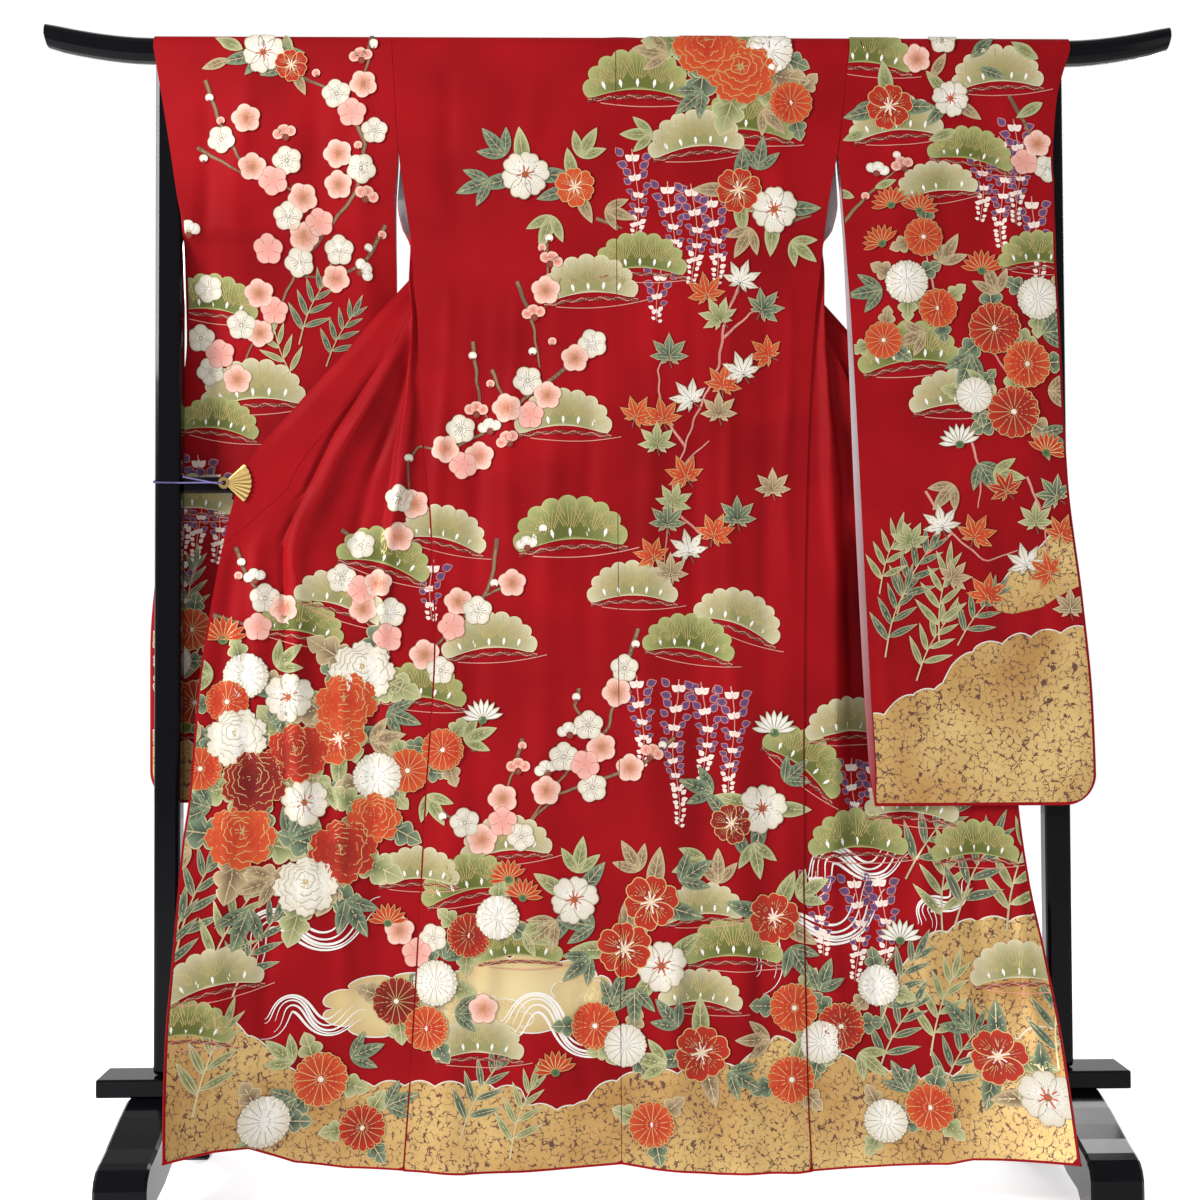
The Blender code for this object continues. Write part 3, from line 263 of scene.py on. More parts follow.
CREASES_PAGE = {
    "left": ((-0.3, 1.21, -0.47, 0.86, 0.012, 0.005), (-0.292, 1.18, -0.4, 0.8, 0.009, -0.0044),
        (-0.283, 1.15, -0.352, 0.62, 0.0085, 0.0048), (-0.455, 0.96, -0.42, 0.3, 0.015, 0.005),
        (-0.34, 0.9, -0.33, 0.2, 0.013, -0.004), (-0.385, 0.74, -0.372, 0.1, 0.012, 0.004),
        (-0.52, 0.93, -0.5, 0.4, 0.012, -0.0042), (-0.54, 0.56, -0.545, 0.12, 0.013, 0.004),
        (-0.48, 0.48, -0.478, 0.09, 0.014, -0.0038)),
    "right": ((0.296, 1.22, 0.33, 0.7, 0.008, 0.005), (0.312, 1.15, 0.35, 0.6, 0.008, -0.0044),
        (0.3, 0.62, 0.312, 0.1, 0.012, 0.0046), (0.36, 0.6, 0.372, 0.08, 0.013, -0.004),
        (0.43, 0.6, 0.442, 0.08, 0.014, 0.0046), (0.5, 0.58, 0.52, 0.09, 0.013, -0.004),
        (0.56, 0.56, 0.575, 0.1, 0.01, 0.0036)),
}
# the sharp fold that the clip's pull raises on the left front: its line, and share of height
MAIN_FOLD = {
    "z": (0.5, 0.62, 0.79, 0.925, 0.96, 0.985, 1.01, 1.078, 1.17, 1.222),
    "x": (-0.45, -0.455, -0.458, -0.462, -0.4455, -0.4338, -0.422, -0.39, -0.332, -0.303),
    "share": (0, 0.55, 0.9, 1, 0.9, 0.55, 0.9, 0.95, 0.6, 0),
}
RIDGE = (0.013, 0.0200, 0.0062)     # of the main fold: place across, half width, height
VALLEY = (-0.0030, 0.0050, 0.0068)
# where the right front turns rearwards beside the back: x at its start, end, return and end
TURN_BACK = (0.312, 0.340, 0.375, 0.470)
TURN_BACK_DEEP = 0.030
# its share of that depth by height: less at the middle rail, which it must not touch
TURN_BACK_BY = {"z": (0.44, 0.62, 0.84, 0.95, 1.08, 1.22), "share": (0.0, 1.0, 1.0, 0.2, 0.2, 0.0)}
CREASES_SLEEVE = {
    "left": ((-0.36, 1.6, -0.35, 1.1, 0.016, 0.0024), (-0.43, 1.61, -0.4, 1.2, 0.02, -0.0024),
        (-0.52, 1.6, -0.545, 1.22, 0.017, 0.0026), (-0.58, 1.56, -0.57, 1.05, 0.013, -0.0024),
        (-0.62, 1.15, -0.634, 0.6, 0.01, 0.0024)),
    "right": ((0.4, 1.6, 0.42, 1.1, 0.018, 0.0022), (0.48, 1.6, 0.47, 0.95, 0.02, -0.0026),
        (0.56, 1.58, 0.585, 0.9, 0.017, 0.0026), (0.43, 1, 0.455, 0.57, 0.017, -0.003),
        (0.52, 0.95, 0.54, 0.57, 0.019, 0.0034), (0.6, 0.9, 0.615, 0.57, 0.015, -0.003),
        (0.375, 0.9, 0.39, 0.57, 0.011, 0.0026)),
}

# finer mesh of the visible cloth
ROW_CUTS = 4               # rows for each row of the solids
COLUMN_CUTS = 5            # columns for each column of the solids
LINING_RED_BELOW = 0.55    # the lining is red up to here and white above the next height
LINING_WHITE_ABOVE = 1.05
CRACK_CELL = 0.0098        # cracks in the gold ground, across a cell
OFF_CLOTH = WALL / 2 + 0.00055   # print above the middle of the cloth
OFF_PAGE = WALL / 2 + 0.00085    # the same on the slanting fronts
LEVEL = 0.000012           # one level inside a motif
SEAM_CLEAR = 0.0005        # from the centre seam to the print on each side
SIDE_CLEAR = 0.0015        # from a side edge to the print
EDGE_CLEAR = 0.0035        # from an edge that rolls or closes to the print
HEM_CLEAR = 0.002          # from the hem up to the print
FOOT_CLEAR = 0.004         # from the sleeve's foot up to the print, and round the upper fronts
PAGE_TOP = 1.060           # the print of the pages and that of the upper fronts end here
UPPER_FOOT = 1.37
HEM_ROLL = 0.0019          # radius of the padded hem edge
PAPER = 0.585              # share of a seen colour that the surface itself has
MIX_A, MIX_B, MIX_OUT = 6, 7, 2   # a colour mix's two colours and its result, by number


def curve_at(heights, values, z):
    """Value at height z on a smooth curve through the rows (Hermite, mean slopes)."""
    h = np.asarray(heights, float)[::-1]
    v = np.asarray(values, float)[::-1]
    z = np.clip(np.asarray(z, float), h[0], h[-1])
    step = np.diff(h)
    rise = np.diff(v) / step
    slope = np.empty_like(v)
    slope[0], slope[-1] = rise[0], rise[-1]
    same = rise[1:] * rise[:-1] > 0
    mean = np.where(same, 2 * rise[1:] * rise[:-1] / np.where(same, rise[1:] + rise[:-1], 1), 0)
    slope[1:-1] = mean
    k = np.clip(np.searchsorted(h, z, side="right") - 1, 0, len(h) - 2)
    t = (z - h[k]) / step[k]
    blend = t * t * (3 - 2 * t)
    return (v[k] * (1 - blend) + v[k + 1] * blend
            + step[k] * t * (1 - t) * (slope[k] * (1 - t) - slope[k + 1] * t))


def row_at(rows, key, z):
    """Value at height z in one column of a table of rows."""
    return curve_at(rows["z"], rows[key], z)


def ramp(value, start, end):
    """0 at start, 1 at end, smooth between."""
    t = np.clip((value - start) / (end - start), 0, 1)
    return t * t * (3 - 2 * t)


def creased(rows, x, z):
    """Sum of creases: each a bell across a slanting line, its height like sin towards both
    ends of the line and uneven along it."""
    total = 0 * (x + z)
    for x_top, z_top, x_low, z_low, half, high in rows:
        down = np.clip((z_top - z) / (z_top - z_low), 0, 1)
        middle = x_top + (x_low - x_top) * down + 0.004 * np.sin(9 * down + 40 * half)
        along = np.sin(pi * np.clip(down, 0, 1) ** 0.7) * (0.75 + 0.25 * np.sin(21 * down + 90 * half))
        wide = half * (0.7 + 0.6 * down)
        total = total + DEPTH_OF_CREASES * high * along * np.exp(-((x - middle) / wide) ** 2)
    return total


def page_fold(side, x, z):
    """Larger fold of a front: on the left a ridge and a narrow valley along MAIN_FOLD, on the
    right a turn rearwards between two heights."""
    if side == "left":
        across = x - np.interp(z, MAIN_FOLD["z"], MAIN_FOLD["x"])
        share = np.interp(z, MAIN_FOLD["z"], MAIN_FOLD["share"])
        rise = [high * np.exp(-((across - at) / half) ** 2) for at, half, high in (RIDGE, VALLEY)]
        return share * (rise[0] - rise[1])
    start, end, back_start, back_end = TURN_BACK
    wide = ramp(x, start, end) * ramp(x, back_end, back_start)
    return -TURN_BACK_DEEP * wide * np.interp(z, TURN_BACK_BY["z"], TURN_BACK_BY["share"])


def hem_at(x):
    """Hem height at x."""
    return np.interp(x, HEM["x"], HEM["z"])


def back_side(side, z):
    """X of the back's side edge."""
    return row_at(BACK_ROWS, side, z)


def back_depth(x, z):
    """Y of the back at (x, z): the hang, the step of the tuck and the soft folds."""
    y = row_at(BACK_ROWS, "depth", z)
    y = y - TUCK_STEP * ramp(z, TUCK_Z - 0.001, TUCK_Z + 0.001) * ramp(z, SHOULDER_Z, SHOULDER_Z - 0.15)
    for x_top, x_hem, z_top, half, high in zip(*BACK_FOLDS.values()):
        down = np.clip((z_top - z) / z_top, 0, 1)
        middle = x_hem + (x_top - x_hem) * np.clip(z / TUCK_Z, 0, 1)
        y = y - high * ramp(down, 0, 0.6) * np.exp(-((x - middle) / half) ** 2)
    return y - creased(CREASES_BACK, x, z)


def back_point(side, w, z):
    """Back panel at share w of its width (0 centre seam, 1 side) and height z."""
    sign = -1 if side == "left" else 1
    inner = CENTRE_X + sign * SEAM / 2
    x = inner + (back_side(side, z) - inner) * w
    return np.stack([x, back_depth(x, z), z], -1)


def front_side(side, z):
    """(x, y) of the front's side edge: free in the side opening, lapped behind the seam below."""
    rows = FREE_EDGE[side]
    inward = LAP if side == "left" else -LAP
    edge_x = back_side(side, z)
    seam_x = edge_x + inward
    seam_y = back_depth(edge_x, z) + WALL + SEAM + 0.0006
    free = ramp(z, SEAM_TOP, SEAM_TOP + 0.03)
    x = seam_x + (row_at(rows, "x", z) - seam_x) * free
    y = seam_y + (row_at(rows, "y", z) - seam_y) * free
    return x, y


def seam_share(side, which, z):
    """Share of a front's width at which the okumi or the collar starts."""
    return row_at(SEAM_SHARES[side], which, z)


def page_edge(side, z):
    """X of a front's outer edge."""
    return row_at(OUTER_EDGE[side], "x", z)


def front_point(side, s, z):
    """The whole front, body panel, okumi and collar, at share s (0 side edge, 1 outer edge):
    straight across or swept forwards as a power of s, swollen inwards and rearwards by
    sin(pi s) where it turns over, with the radial folds, pull folds and the rolled edge."""
    sign = 1 if side == "left" else -1
    x0, y0 = front_side(side, z)
    x1 = page_edge(side, z)
    y1 = row_at(OUTER_EDGE[side], "y", z)
    okumi = seam_share(side, "okumi", z)
    collar = seam_share(side, "collar", z)
    q = np.clip(s / okumi, 0, 1)
    v = np.clip((s - okumi) / np.maximum(collar - okumi, 0.01), 0, 1)
    k = np.clip((s - collar) / (1 - collar), 0, 1)
    start, first, second = STRIP
    strip = (ramp(q, start, first) - 1.4 * ramp(q, first, second)
             + 0.4 * np.clip((q - second) / (1 - second), 0, 1))
    out = ramp(q, 0, first) * np.minimum(1, (1 - s) / (1 - first * okumi))
    cover = np.where(s < okumi, ramp(q, 0.45, 1.0), 0.3 * (v - 1))
    x = x0 + (x1 - x0) * s + sign * row_at(TURN, "inward", z) * np.sin(pi * s)
    x = x - sign * row_at(RADIAL, "out_" + side, z) * out
    power = 1 + 1.2 * ramp(z, 0.75, 0.10)
    rear = row_at(TURN, "rear_" + side, z)
    y = y0 + (y1 - y0) * np.maximum(s, 0) ** power + rear * np.sin(pi * s)
    y = y - row_at(RADIAL, "strip", z) * strip
    y = y - row_at(RADIAL, "cover", z) * cover
    y = y + row_at(EDGE_ROLL, "back", z) * ramp(k, 0.70, 1.0)
    if side == "left":
        low, middle, high = PULL_Z
        pull = ramp(z, low, middle) * ramp(z, high, middle)
        across = (s - okumi) / (1 - okumi)
        for at, half, lift in zip(*PULL_FOLDS.values()):
            y = y - lift * pull * np.exp(-((across - at) / half) ** 2)
    free = ramp(s, 0.0, 0.08) * ramp(s, 1.0, 0.94) * ramp(z, 1.24, 1.16)
    y = y - (creased(CREASES_PAGE[side], x, z) + page_fold(side, x, z)) * free
    return np.stack([x, y, z + 0 * s], -1)


def bar_section(angle, grow):
    """(y, z) round the bar's section at angle (0 towards -Y, pi/2 up), grown by grow."""
    y = np.sign(np.cos(angle)) * np.abs(np.cos(angle)) ** BAR_SQUARE
    z = np.sign(np.sin(angle)) * np.abs(np.sin(angle)) ** BAR_SQUARE
    return -(BAR_DEEP / 2 + grow) * y, BAR_Z + (BAR_TALL / 2 + grow) * z


def over_bar(x, grow):
    """Rows of points over the bar, from the near side to the far side."""
    y, z = bar_section(np.linspace(0, pi, BAR_STEPS + 1)[:, None], grow)
    x = np.asarray(x, float)[None, :]
    return np.stack([x + 0 * y, y + 0 * x, z + 0 * x], -1)


def spaced(start, end, count):
    """Values in count equal steps from start to end."""
    return np.linspace(start, end, count + 1)


def row_share(z):
    """Share of the way down from the bar to the hem at height z."""
    return (SHOULDER_Z - z) / (SHOULDER_Z - ROWS_END)


def front_rows():
    """Shares of the way down from the bar to the hem, closer where the front turns over."""
    first, last = map(row_share, COLLAR_ROWS)
    return np.concatenate([[0, first], spaced(first, 0.10, 2)[1:], spaced(0.10, 0.32, 11)[1:],
                           spaced(0.32, last, 4)[1:], spaced(last, 1, 11)[1:]])


def front_heights(side, s, t):
    """Height at share s across and share t down: straight between the bar and the hem."""
    x0 = back_side(side, HEM_NEAR)
    x1 = OUTER_EDGE[side]["x"][-1]
    return SHOULDER_Z + (hem_at(x0 + (x1 - x0) * s) - SHOULDER_Z) * t


def seam_at(side, which, t, gap):
    """Share s of a seam in each row t, moved by gap metres along the row."""
    s = np.full_like(t, 0.5)
    for _ in range(4):
        s = seam_share(side, which, front_heights(side, s, t))
    z = front_heights(side, s, t)
    nearby = 0.01
    step = front_point(side, s + nearby, z) - front_point(side, s - nearby, z)
    inward = row_at(TURN, "inward", z)
    step[:, 1] *= np.abs(inward) > 0.004
    wider = 1 + 1.5 * inward / max(TURN["inward"])
    return s + gap * wider * 2 * nearby / np.linalg.norm(step, axis=-1)


def front_part(side, start, end, shares, t):
    """Grid of points between two seams; start and end hold a share s for each row t."""
    s = start[:, None] + (end - start)[:, None] * np.asarray(shares)[None, :]
    return front_point(side, s, front_heights(side, s, t[:, None]))


def sleeve_layer(side, layer, w, z):
    """One layer of a sleeve at share w (0 inner edge, 1 outer edge): straight between the
    edges; below the wrist opening the layers close on one middle surface, like the root of
    1 - w^4 at the outer edge and like the root of the height at the bottom."""
    rows = SLEEVES[side]
    inner_x, inner_y, outer_x, outer_y = (row_at(rows, "%s_%s_%s" % (edge, layer, way), z)
                                          for edge in ("inner", "outer") for way in "xy")
    mid_inner, mean_x = ((row_at(rows, "inner_near_" + way, z) + row_at(rows, "inner_far_" + way, z)) / 2
                         for way in "yx")
    radius = rows["corner"]
    rise = np.clip((rows["bottom"] + radius - z) / radius, 0, 1)
    corner = radius * (1 - np.sqrt(1 - rise ** 2))
    outer_x = outer_x - np.sign(outer_x) * corner
    closed = ramp(z, rows["wrist_end"] + SLEEVE_CLOSES, rows["wrist_end"])
    straight = inner_y + (outer_y - inner_y) * w
    middle = mid_inner + (outer_y - mid_inner) * w
    foot = np.sqrt(np.clip((z - rows["bottom"]) / SLEEVE_FOOT, 0, 1))
    apart = np.minimum(np.sqrt(np.clip(1 - w ** 4, 0, 1)), foot)
    y = straight + (middle + (inner_y - mid_inner) * apart - straight) * closed
    inner_x = mean_x + (inner_x - mean_x) * foot ** 2
    x = inner_x + (outer_x - inner_x) * w
    free = ramp(w, 0.0, 0.08) * ramp(w, 1.0, 0.93) * ramp(z, rows["bottom"] + 0.002, rows["bottom"] + 0.03)
    y = y - creased(CREASES_SLEEVE[side], x, z) * free * ramp(z, SHOULDER_Z, SHOULDER_Z - 0.05)
    return np.stack([x, y, z + 0 * w], -1)


def finer(values, times):
    """Each step between the values cut into equal parts."""
    values = np.asarray(values, float)
    steps = len(values) - 1
    return np.interp(np.arange(steps * times + 1) / times, np.arange(steps + 1), values)


def body_grids(side):
    """Back grid from the top of the bar to the hem, front grid from there down behind it."""
    t = finer(front_rows(), ROW_CUTS)
    width = abs(back_side(side, SHOULDER_Z) - CENTRE_X)
    neck = NECK_HALF / width
    w = np.concatenate([spaced(0, neck, NECK_CELLS)[:-1], spaced(neck, 1, len(FRONT_SHARES) - 1)])
    w = finer(w, COLUMN_CUTS)
    high = np.concatenate([spaced(SHOULDER_Z, TUCK_Z + 0.0015, 45), [TUCK_Z - 0.0015]])
    upper = back_point(side, w[None, :], high[:, None] + 0 * w[None, :])
    down = spaced(0, 1, 150)[1:, None]
    last = hem_at(back_point(side, w, np.full_like(w, HEM_NEAR))[:, 0])[None, :]
    lower = back_point(side, w[None, :], high[-1] + (last - high[-1]) * down)
    top = over_bar(upper[0, :, 0], ON_BAR_WALL)
    half = BAR_STEPS // 2
    back = np.concatenate([top[half:0:-1], upper, lower])
    end = np.minimum(seam_at(side, "okumi", t, -SEAM), seam_at(side, "collar", t, -SEAM))
    front = front_part(side, 0 * t, end, finer(FRONT_SHARES, COLUMN_CUTS), t)
    rear = top[half:, :NECK_CELLS * COLUMN_CUTS - 1:-1].copy()
    passed = spaced(0, 1, half)[:, None]
    rear[:, :, 0] += (front[0, :, 0][None, :] - rear[:, :, 0]) * passed
    return back, np.concatenate([rear, front[1:]])


def collar_span():
    """Shares down the front where the collar's side stretch starts, where its last full row
    lies, and where its slanting end meets the outer edge."""
    first, last = map(row_share, COLLAR_ROWS)
    return first, last, last + (1 - last) / 11


def okumi_grid(side):
    """Okumi from its point to the hem; below the collar's slanting end it reaches the outer
    edge."""
    t = finer(front_rows(), ROW_CUTS)
    t = t[front_heights(side, 0.42, t) < OKUMI_TOP[side]]
    start = seam_at(side, "okumi", t, SEAM)
    end = seam_at(side, "collar", t, -SEAM)
    _, last, below = collar_span()
    end = end + (1 - end) * np.clip((t - last) / (below - last), 0, 1)
    return front_part(side, start, end, finer(OKUMI_SHARES, COLUMN_CUTS), t)


def collar_grid(side):
    """Collar from below the neck stretch to its end, which is cut on the slant."""
    first, last, below = collar_span()
    t = finer(front_rows(), ROW_CUTS)
    t = t[(t > first - 1e-6) & (t < last + 1e-6)]
    shares = finer(COLLAR_SHARES, COLUMN_CUTS)
    grid = front_part(side, seam_at(side, "collar", t, SEAM), np.ones_like(t), shares, t)
    slant = spaced(0, 1, 2 * ROW_CUTS)[1:, None] * shares[None, :]
    down = last + (below - last - 0.0007) * slant
    start = seam_at(side, "collar", np.array([last]), SEAM)
    s = start + (1 - start) * shares[None, :] + 0 * down
    end = front_point(side, s, front_heights(side, s, down))
    return np.concatenate([grid, end])


def sleeve_grids(side):
    """Near and far grids of a sleeve, which share the fold over the bar, the closed outer
    edge below the wrist opening, and the bottom seam."""
    rows = SLEEVES[side]
    w = finer(np.concatenate([np.linspace(0, 0.92, SLEEVE_COLUMNS), [0.975, 1.0]]), COLUMN_CUTS + 1)
    wrist = rows["wrist_end"]
    bottom = rows["bottom"]
    radius = rows["corner"]
    z = finer(np.concatenate([
        spaced(SHOULDER_Z, wrist + 2.5 * WRIST_TACK, 6)[1:],
        [wrist + WRIST_TACK, wrist],
        spaced(wrist, bottom + radius, 11)[1:],
        bottom + radius * np.array([0.62, 0.30, 0.10, 0.0]),
    ]), ROW_CUTS)
    z = np.concatenate([spaced(SHOULDER_Z, z[0], ROW_CUTS)[1:-1], z])[:, None]
    grids = []
    for layer in ("near", "far"):
        grid = sleeve_layer(side, layer, w[None, :], z + 0 * w[None, :])
        closed = z[:, 0] <= wrist + 1e-6
        shared = sleeve_layer(side, "near", np.ones(1), z)[:, 0]
        grid[closed, -1] = shared[closed]
        grids.append(grid)
    last = (grids[0][-1] + grids[1][-1]) / 2
    grids[0][-1] = last
    grids[1][-1] = last
    half = BAR_STEPS // 2
    shoulder = np.full_like(w, SHOULDER_Z)
    near_x = sleeve_layer(side, "near", w, shoulder)[:, 0]
    far_x = sleeve_layer(side, "far", w, shoulder)[:, 0]
    top = over_bar(near_x, ON_BAR_WALL)
    passed = spaced(0, 1, half)[:, None]
    top[half:, :, 0] += (far_x - near_x)[None, :] * passed
    return np.concatenate([top[half::-1], grids[0]]), np.concatenate([top[half:], grids[1]])


def back_collar_grid():
    """Collar round the back of the neck: over the rear half of the bar, then a short hang
    between the two fronts down to where the side stretches start."""
    t = front_rows()[:2]
    left, right = (front_part(side, seam_at(side, "collar", t, SEAM), np.ones(2), (0.0,), t)[:, 0]
                   for side in ("left", "right"))
    share = spaced(0, 1, 40)
    half = BAR_STEPS // 2
    x, x_low = (left[row, 0] + COLLAR_GAP + (right[row, 0] - left[row, 0] - 2 * COLLAR_GAP) * share
                for row in (0, 1))
    rows = over_bar(x, ON_BAR_WALL + (BAND_WALL - WALL) / 2)[half:]
    rows[0, :, 1] += 0.0010
    rise = NECK_RISE * np.exp(-((x - NECK_RISE_X) / NECK_RISE_HALF) ** 2)
    fades = np.interp(spaced(0, 4, half), range(5), (1.0, 0.9, 0.5, 0.1, 0.0))
    rows[:, :, 2] += rise[None, :] * fades[:, None]
    hang = left[1] + (right[1] - left[1]) * share[:, None]
    hang[:, 0] = x_low
    hang[:, 2] = COLLAR_ROWS[0] + 0.0010
    below = rows[-1] + (hang - rows[-1]) * spaced(0, 1, 4)[1:, None, None]
    return np.concatenate([rows, below])


def new_piece(name, points, faces, materials, smooth_angle=None):
    """Mesh object from arrays of points and faces (a list of arrays, one for each count of
    corners), smooth shaded, with its sharp edges marked past an angle."""
    mesh = bpy.data.meshes.new(name)
    mesh.from_pydata(points.tolist(), [], [face for part in faces for face in part.tolist()])
    for finish in materials:
        mesh.materials.append(finish)
    mesh.shade_smooth()
    if smooth_angle is not None:
        mesh.set_sharp_from_angle(angle=smooth_angle)
    piece = bpy.data.objects.new(name, mesh)
    bpy.context.scene.collection.objects.link(piece)
    return piece


def grid_faces(rows, columns, flip):
    """Quads of a grid, corners in order round each cell."""
    k = (np.arange(rows - 1)[:, None] * columns + np.arange(columns - 1)[None, :]).ravel()
    quads = np.stack([k, k + 1, k + columns + 1, k + columns], 1)
    return quads[:, ::-1] if flip else quads


def welded(grids, flips):
    """Grids of points joined into one surface: equal points become one, and a cell with two
    equal corners becomes a triangle. Returns points, quads, triangles."""
    points = np.concatenate([grid.reshape(-1, 3) for grid in grids])
    starts = np.cumsum([0] + [grid.shape[0] * grid.shape[1] for grid in grids])
    quads = np.concatenate([grid_faces(*grid.shape[:2], flip) + start
                            for grid, flip, start in zip(grids, flips, starts)])
    _, first, same = np.unique(np.round(points, 6), axis=0, return_index=True, return_inverse=True)
    quads = same.reshape(-1)[quads]
    points = points[first]
    doubled = quads == np.roll(quads, -1, 1)
    count = doubled.sum(1)
    whole = quads[count == 0]
    bad = quads[count == 1]
    kept = ~doubled[count == 1]
    triangles = bad[kept].reshape(-1, 3)
    return points, whole, triangles


def vertex_normals(points, quads, triangles):
    """Mean of the normals of the faces round each point, weighted by their area."""
    normals = np.zeros_like(points)
    faces = np.concatenate([quads[:, [0, 1, 2]], quads[:, [0, 2, 3]], triangles])
    across = np.cross(points[faces[:, 1]] - points[faces[:, 0]], points[faces[:, 2]] - points[faces[:, 0]])
    for corner in range(3):
        np.add.at(normals, faces[:, corner], across)
    return normals / np.maximum(np.linalg.norm(normals, axis=1, keepdims=True), 1e-12)


def shell(name, grids, flips, materials, wall=WALL):
    """Closed cloth: the surface moved half a wall outwards and inwards along its normals, and
    a rim along its open edges. Materials: outside, inside, rim."""
    points, quads, triangles = welded(grids, flips)
    normals = vertex_normals(points, quads, triangles)
    edges = np.concatenate([np.stack([part[:, k], part[:, (k + 1) % part.shape[1]]], 1)
                            for part in (quads, triangles) for k in range(part.shape[1])])
    key = np.sort(edges, 1)
    _, place, times = np.unique(key, axis=0, return_inverse=True, return_counts=True)
    rim = edges[times[place.reshape(-1)] == 1]
    count = len(points)
    both = np.concatenate([points + normals * wall / 2, points - normals * wall / 2])
    rim = np.stack([rim[:, 1], rim[:, 0], rim[:, 0] + count, rim[:, 1] + count], 1)
    inside = [part[:, ::-1] + count for part in (quads, triangles)]
    piece = new_piece(name, both, [quads, triangles, *inside, rim], materials, radians(55))
    kinds = np.repeat([0, 1, 2], [len(quads) + len(triangles), len(quads) + len(triangles), len(rim)])
    piece.data.polygons.foreach_set("material_index", kinds.astype(np.int32))
    return piece


def tube(path, radius, around, closed=False, twist=0.0, strands=1):
    """Rings of a circle carried along a path; with strands above 1 the section is lobed and
    turns by twist radians for each metre, as plies do. Returns points and quads."""
    path = np.asarray(path, float)
    ahead = np.roll(path, -1, 0) - np.roll(path, 1, 0) if closed else np.gradient(path, axis=0)
    ahead /= np.linalg.norm(ahead, axis=1, keepdims=True)
    up = np.tile([0.0, 0.0, 1.0], (len(path), 1))
    up = up - ahead * (up * ahead).sum(1, keepdims=True)
    up /= np.linalg.norm(up, axis=1, keepdims=True)
    side = np.cross(ahead, up)
    steps = np.linalg.norm(np.diff(path, axis=0), axis=1)
    gone = np.concatenate([[0], np.cumsum(steps)])[:, None]
    angle = round_angles(around)[None, :]
    lobes = 1 - 0.22 * (1 - np.abs(np.cos(strands * (angle - twist * gone) / 2))) * (strands > 1)
    reach = np.asarray(radius) * lobes
    points = path[:, None] + (up[:, None] * np.cos(angle)[..., None]
                              + side[:, None] * np.sin(angle)[..., None]) * reach[..., None]
    k = np.arange(len(path) - (0 if closed else 1))[:, None] * around
    j = np.arange(around)[None, :]
    n = (j + 1) % around
    total = len(path) * around
    quads = np.stack([k + j, (k + around) % total + j, (k + around) % total + n, k + n], -1)
    return points.reshape(-1, 3), quads.reshape(-1, 4)


def rgb(red, green, blue):
    """Colour as seen under the studio's lights, 0 to 255, as linear values of the surface."""
    c = np.array([red, green, blue], float) / 255
    return PAPER * np.where(c <= 0.04045, c / 12.92, ((c + 0.055) / 1.055) ** 2.4)


def set_inputs(node, **values):
    """Values of a node's sockets, with _ for the spaces in their names."""
    for key, value in values.items():
        node.inputs[key.replace("_", " ")].default_value = value


def new_material(name, colour, roughness, metallic=0.0, **values):
    made = bpy.data.materials.new(name)
    made.use_nodes = True
    shader = made.node_tree.nodes["Principled BSDF"]
    set_inputs(shader, Base_Color=(*colour, 1.0), Roughness=roughness, Metallic=metallic, **values)
    return made, shader


def add_node(made, kind, **values):
    """Node of a material or world, with its properties and inputs set by name."""
    node = made.node_tree.nodes.new(kind)
    for key, value in values.items():
        if hasattr(node, key):
            setattr(node, key, value)
        else:
            set_inputs(node, **{key: value})
    return node


def wire(made, *ties):
    """Links of a material or world: each a node, its output, the next node and its input."""
    for start, output, end, socket in ties:
        made.node_tree.links.new(start.outputs[output], end.inputs[socket])


def crepe_bump(made, shader, strength):
    """Pebbles of twisted crepe yarn: noise a millimetre or two across, longer upwards, with
    finer noise in it."""
    place = add_node(made, "ShaderNodeTexCoord")
    pebble = add_node(made, "ShaderNodeTexNoise", Scale=720.0, Detail=3.0, Roughness=0.6)
    stretch = add_node(made, "ShaderNodeMapping", Scale=(1.0, 1.0, 0.45))
    bump = add_node(made, "ShaderNodeBump", Strength=strength, Distance=0.0005)
    wire(made, (place, "Object", stretch, "Vector"), (stretch, "Vector", pebble, "Vector"),
         (pebble, "Fac", bump, "Height"), (bump, "Normal", shader, "Normal"))
    return place


def two_tone(made, place, low, high, scale):
    """Colour that wanders between two near tones, as dyed silk does; returns its node."""
    cloud = add_node(made, "ShaderNodeTexNoise", Scale=scale, Detail=2.0, Roughness=0.5)
    tones = add_node(made, "ShaderNodeValToRGB")
    for stop, at, colour in zip(tones.color_ramp.elements, (0.3, 0.7), (low, high)):
        stop.position = at
        stop.color = (*colour, 1.0)
    wire(made, (place, "Object", cloud, "Vector"), (cloud, "Fac", tones, "Fac"))
    return tones


def red_silk(name, low, high):
    """Dyed crepe: soft sheen and a pebbled surface."""
    made, shader = new_material(name, high, 0.60, Specular_IOR_Level=0.06, Sheen_Weight=0.04,
                                Sheen_Roughness=0.4, Sheen_Tint=(1.0, 0.10, 0.08, 1.0))
    tones = two_tone(made, crepe_bump(made, shader, 0.45), low, high, 7.0)
    wire(made, (tones, "Color", shader, "Base Color"))
    return made


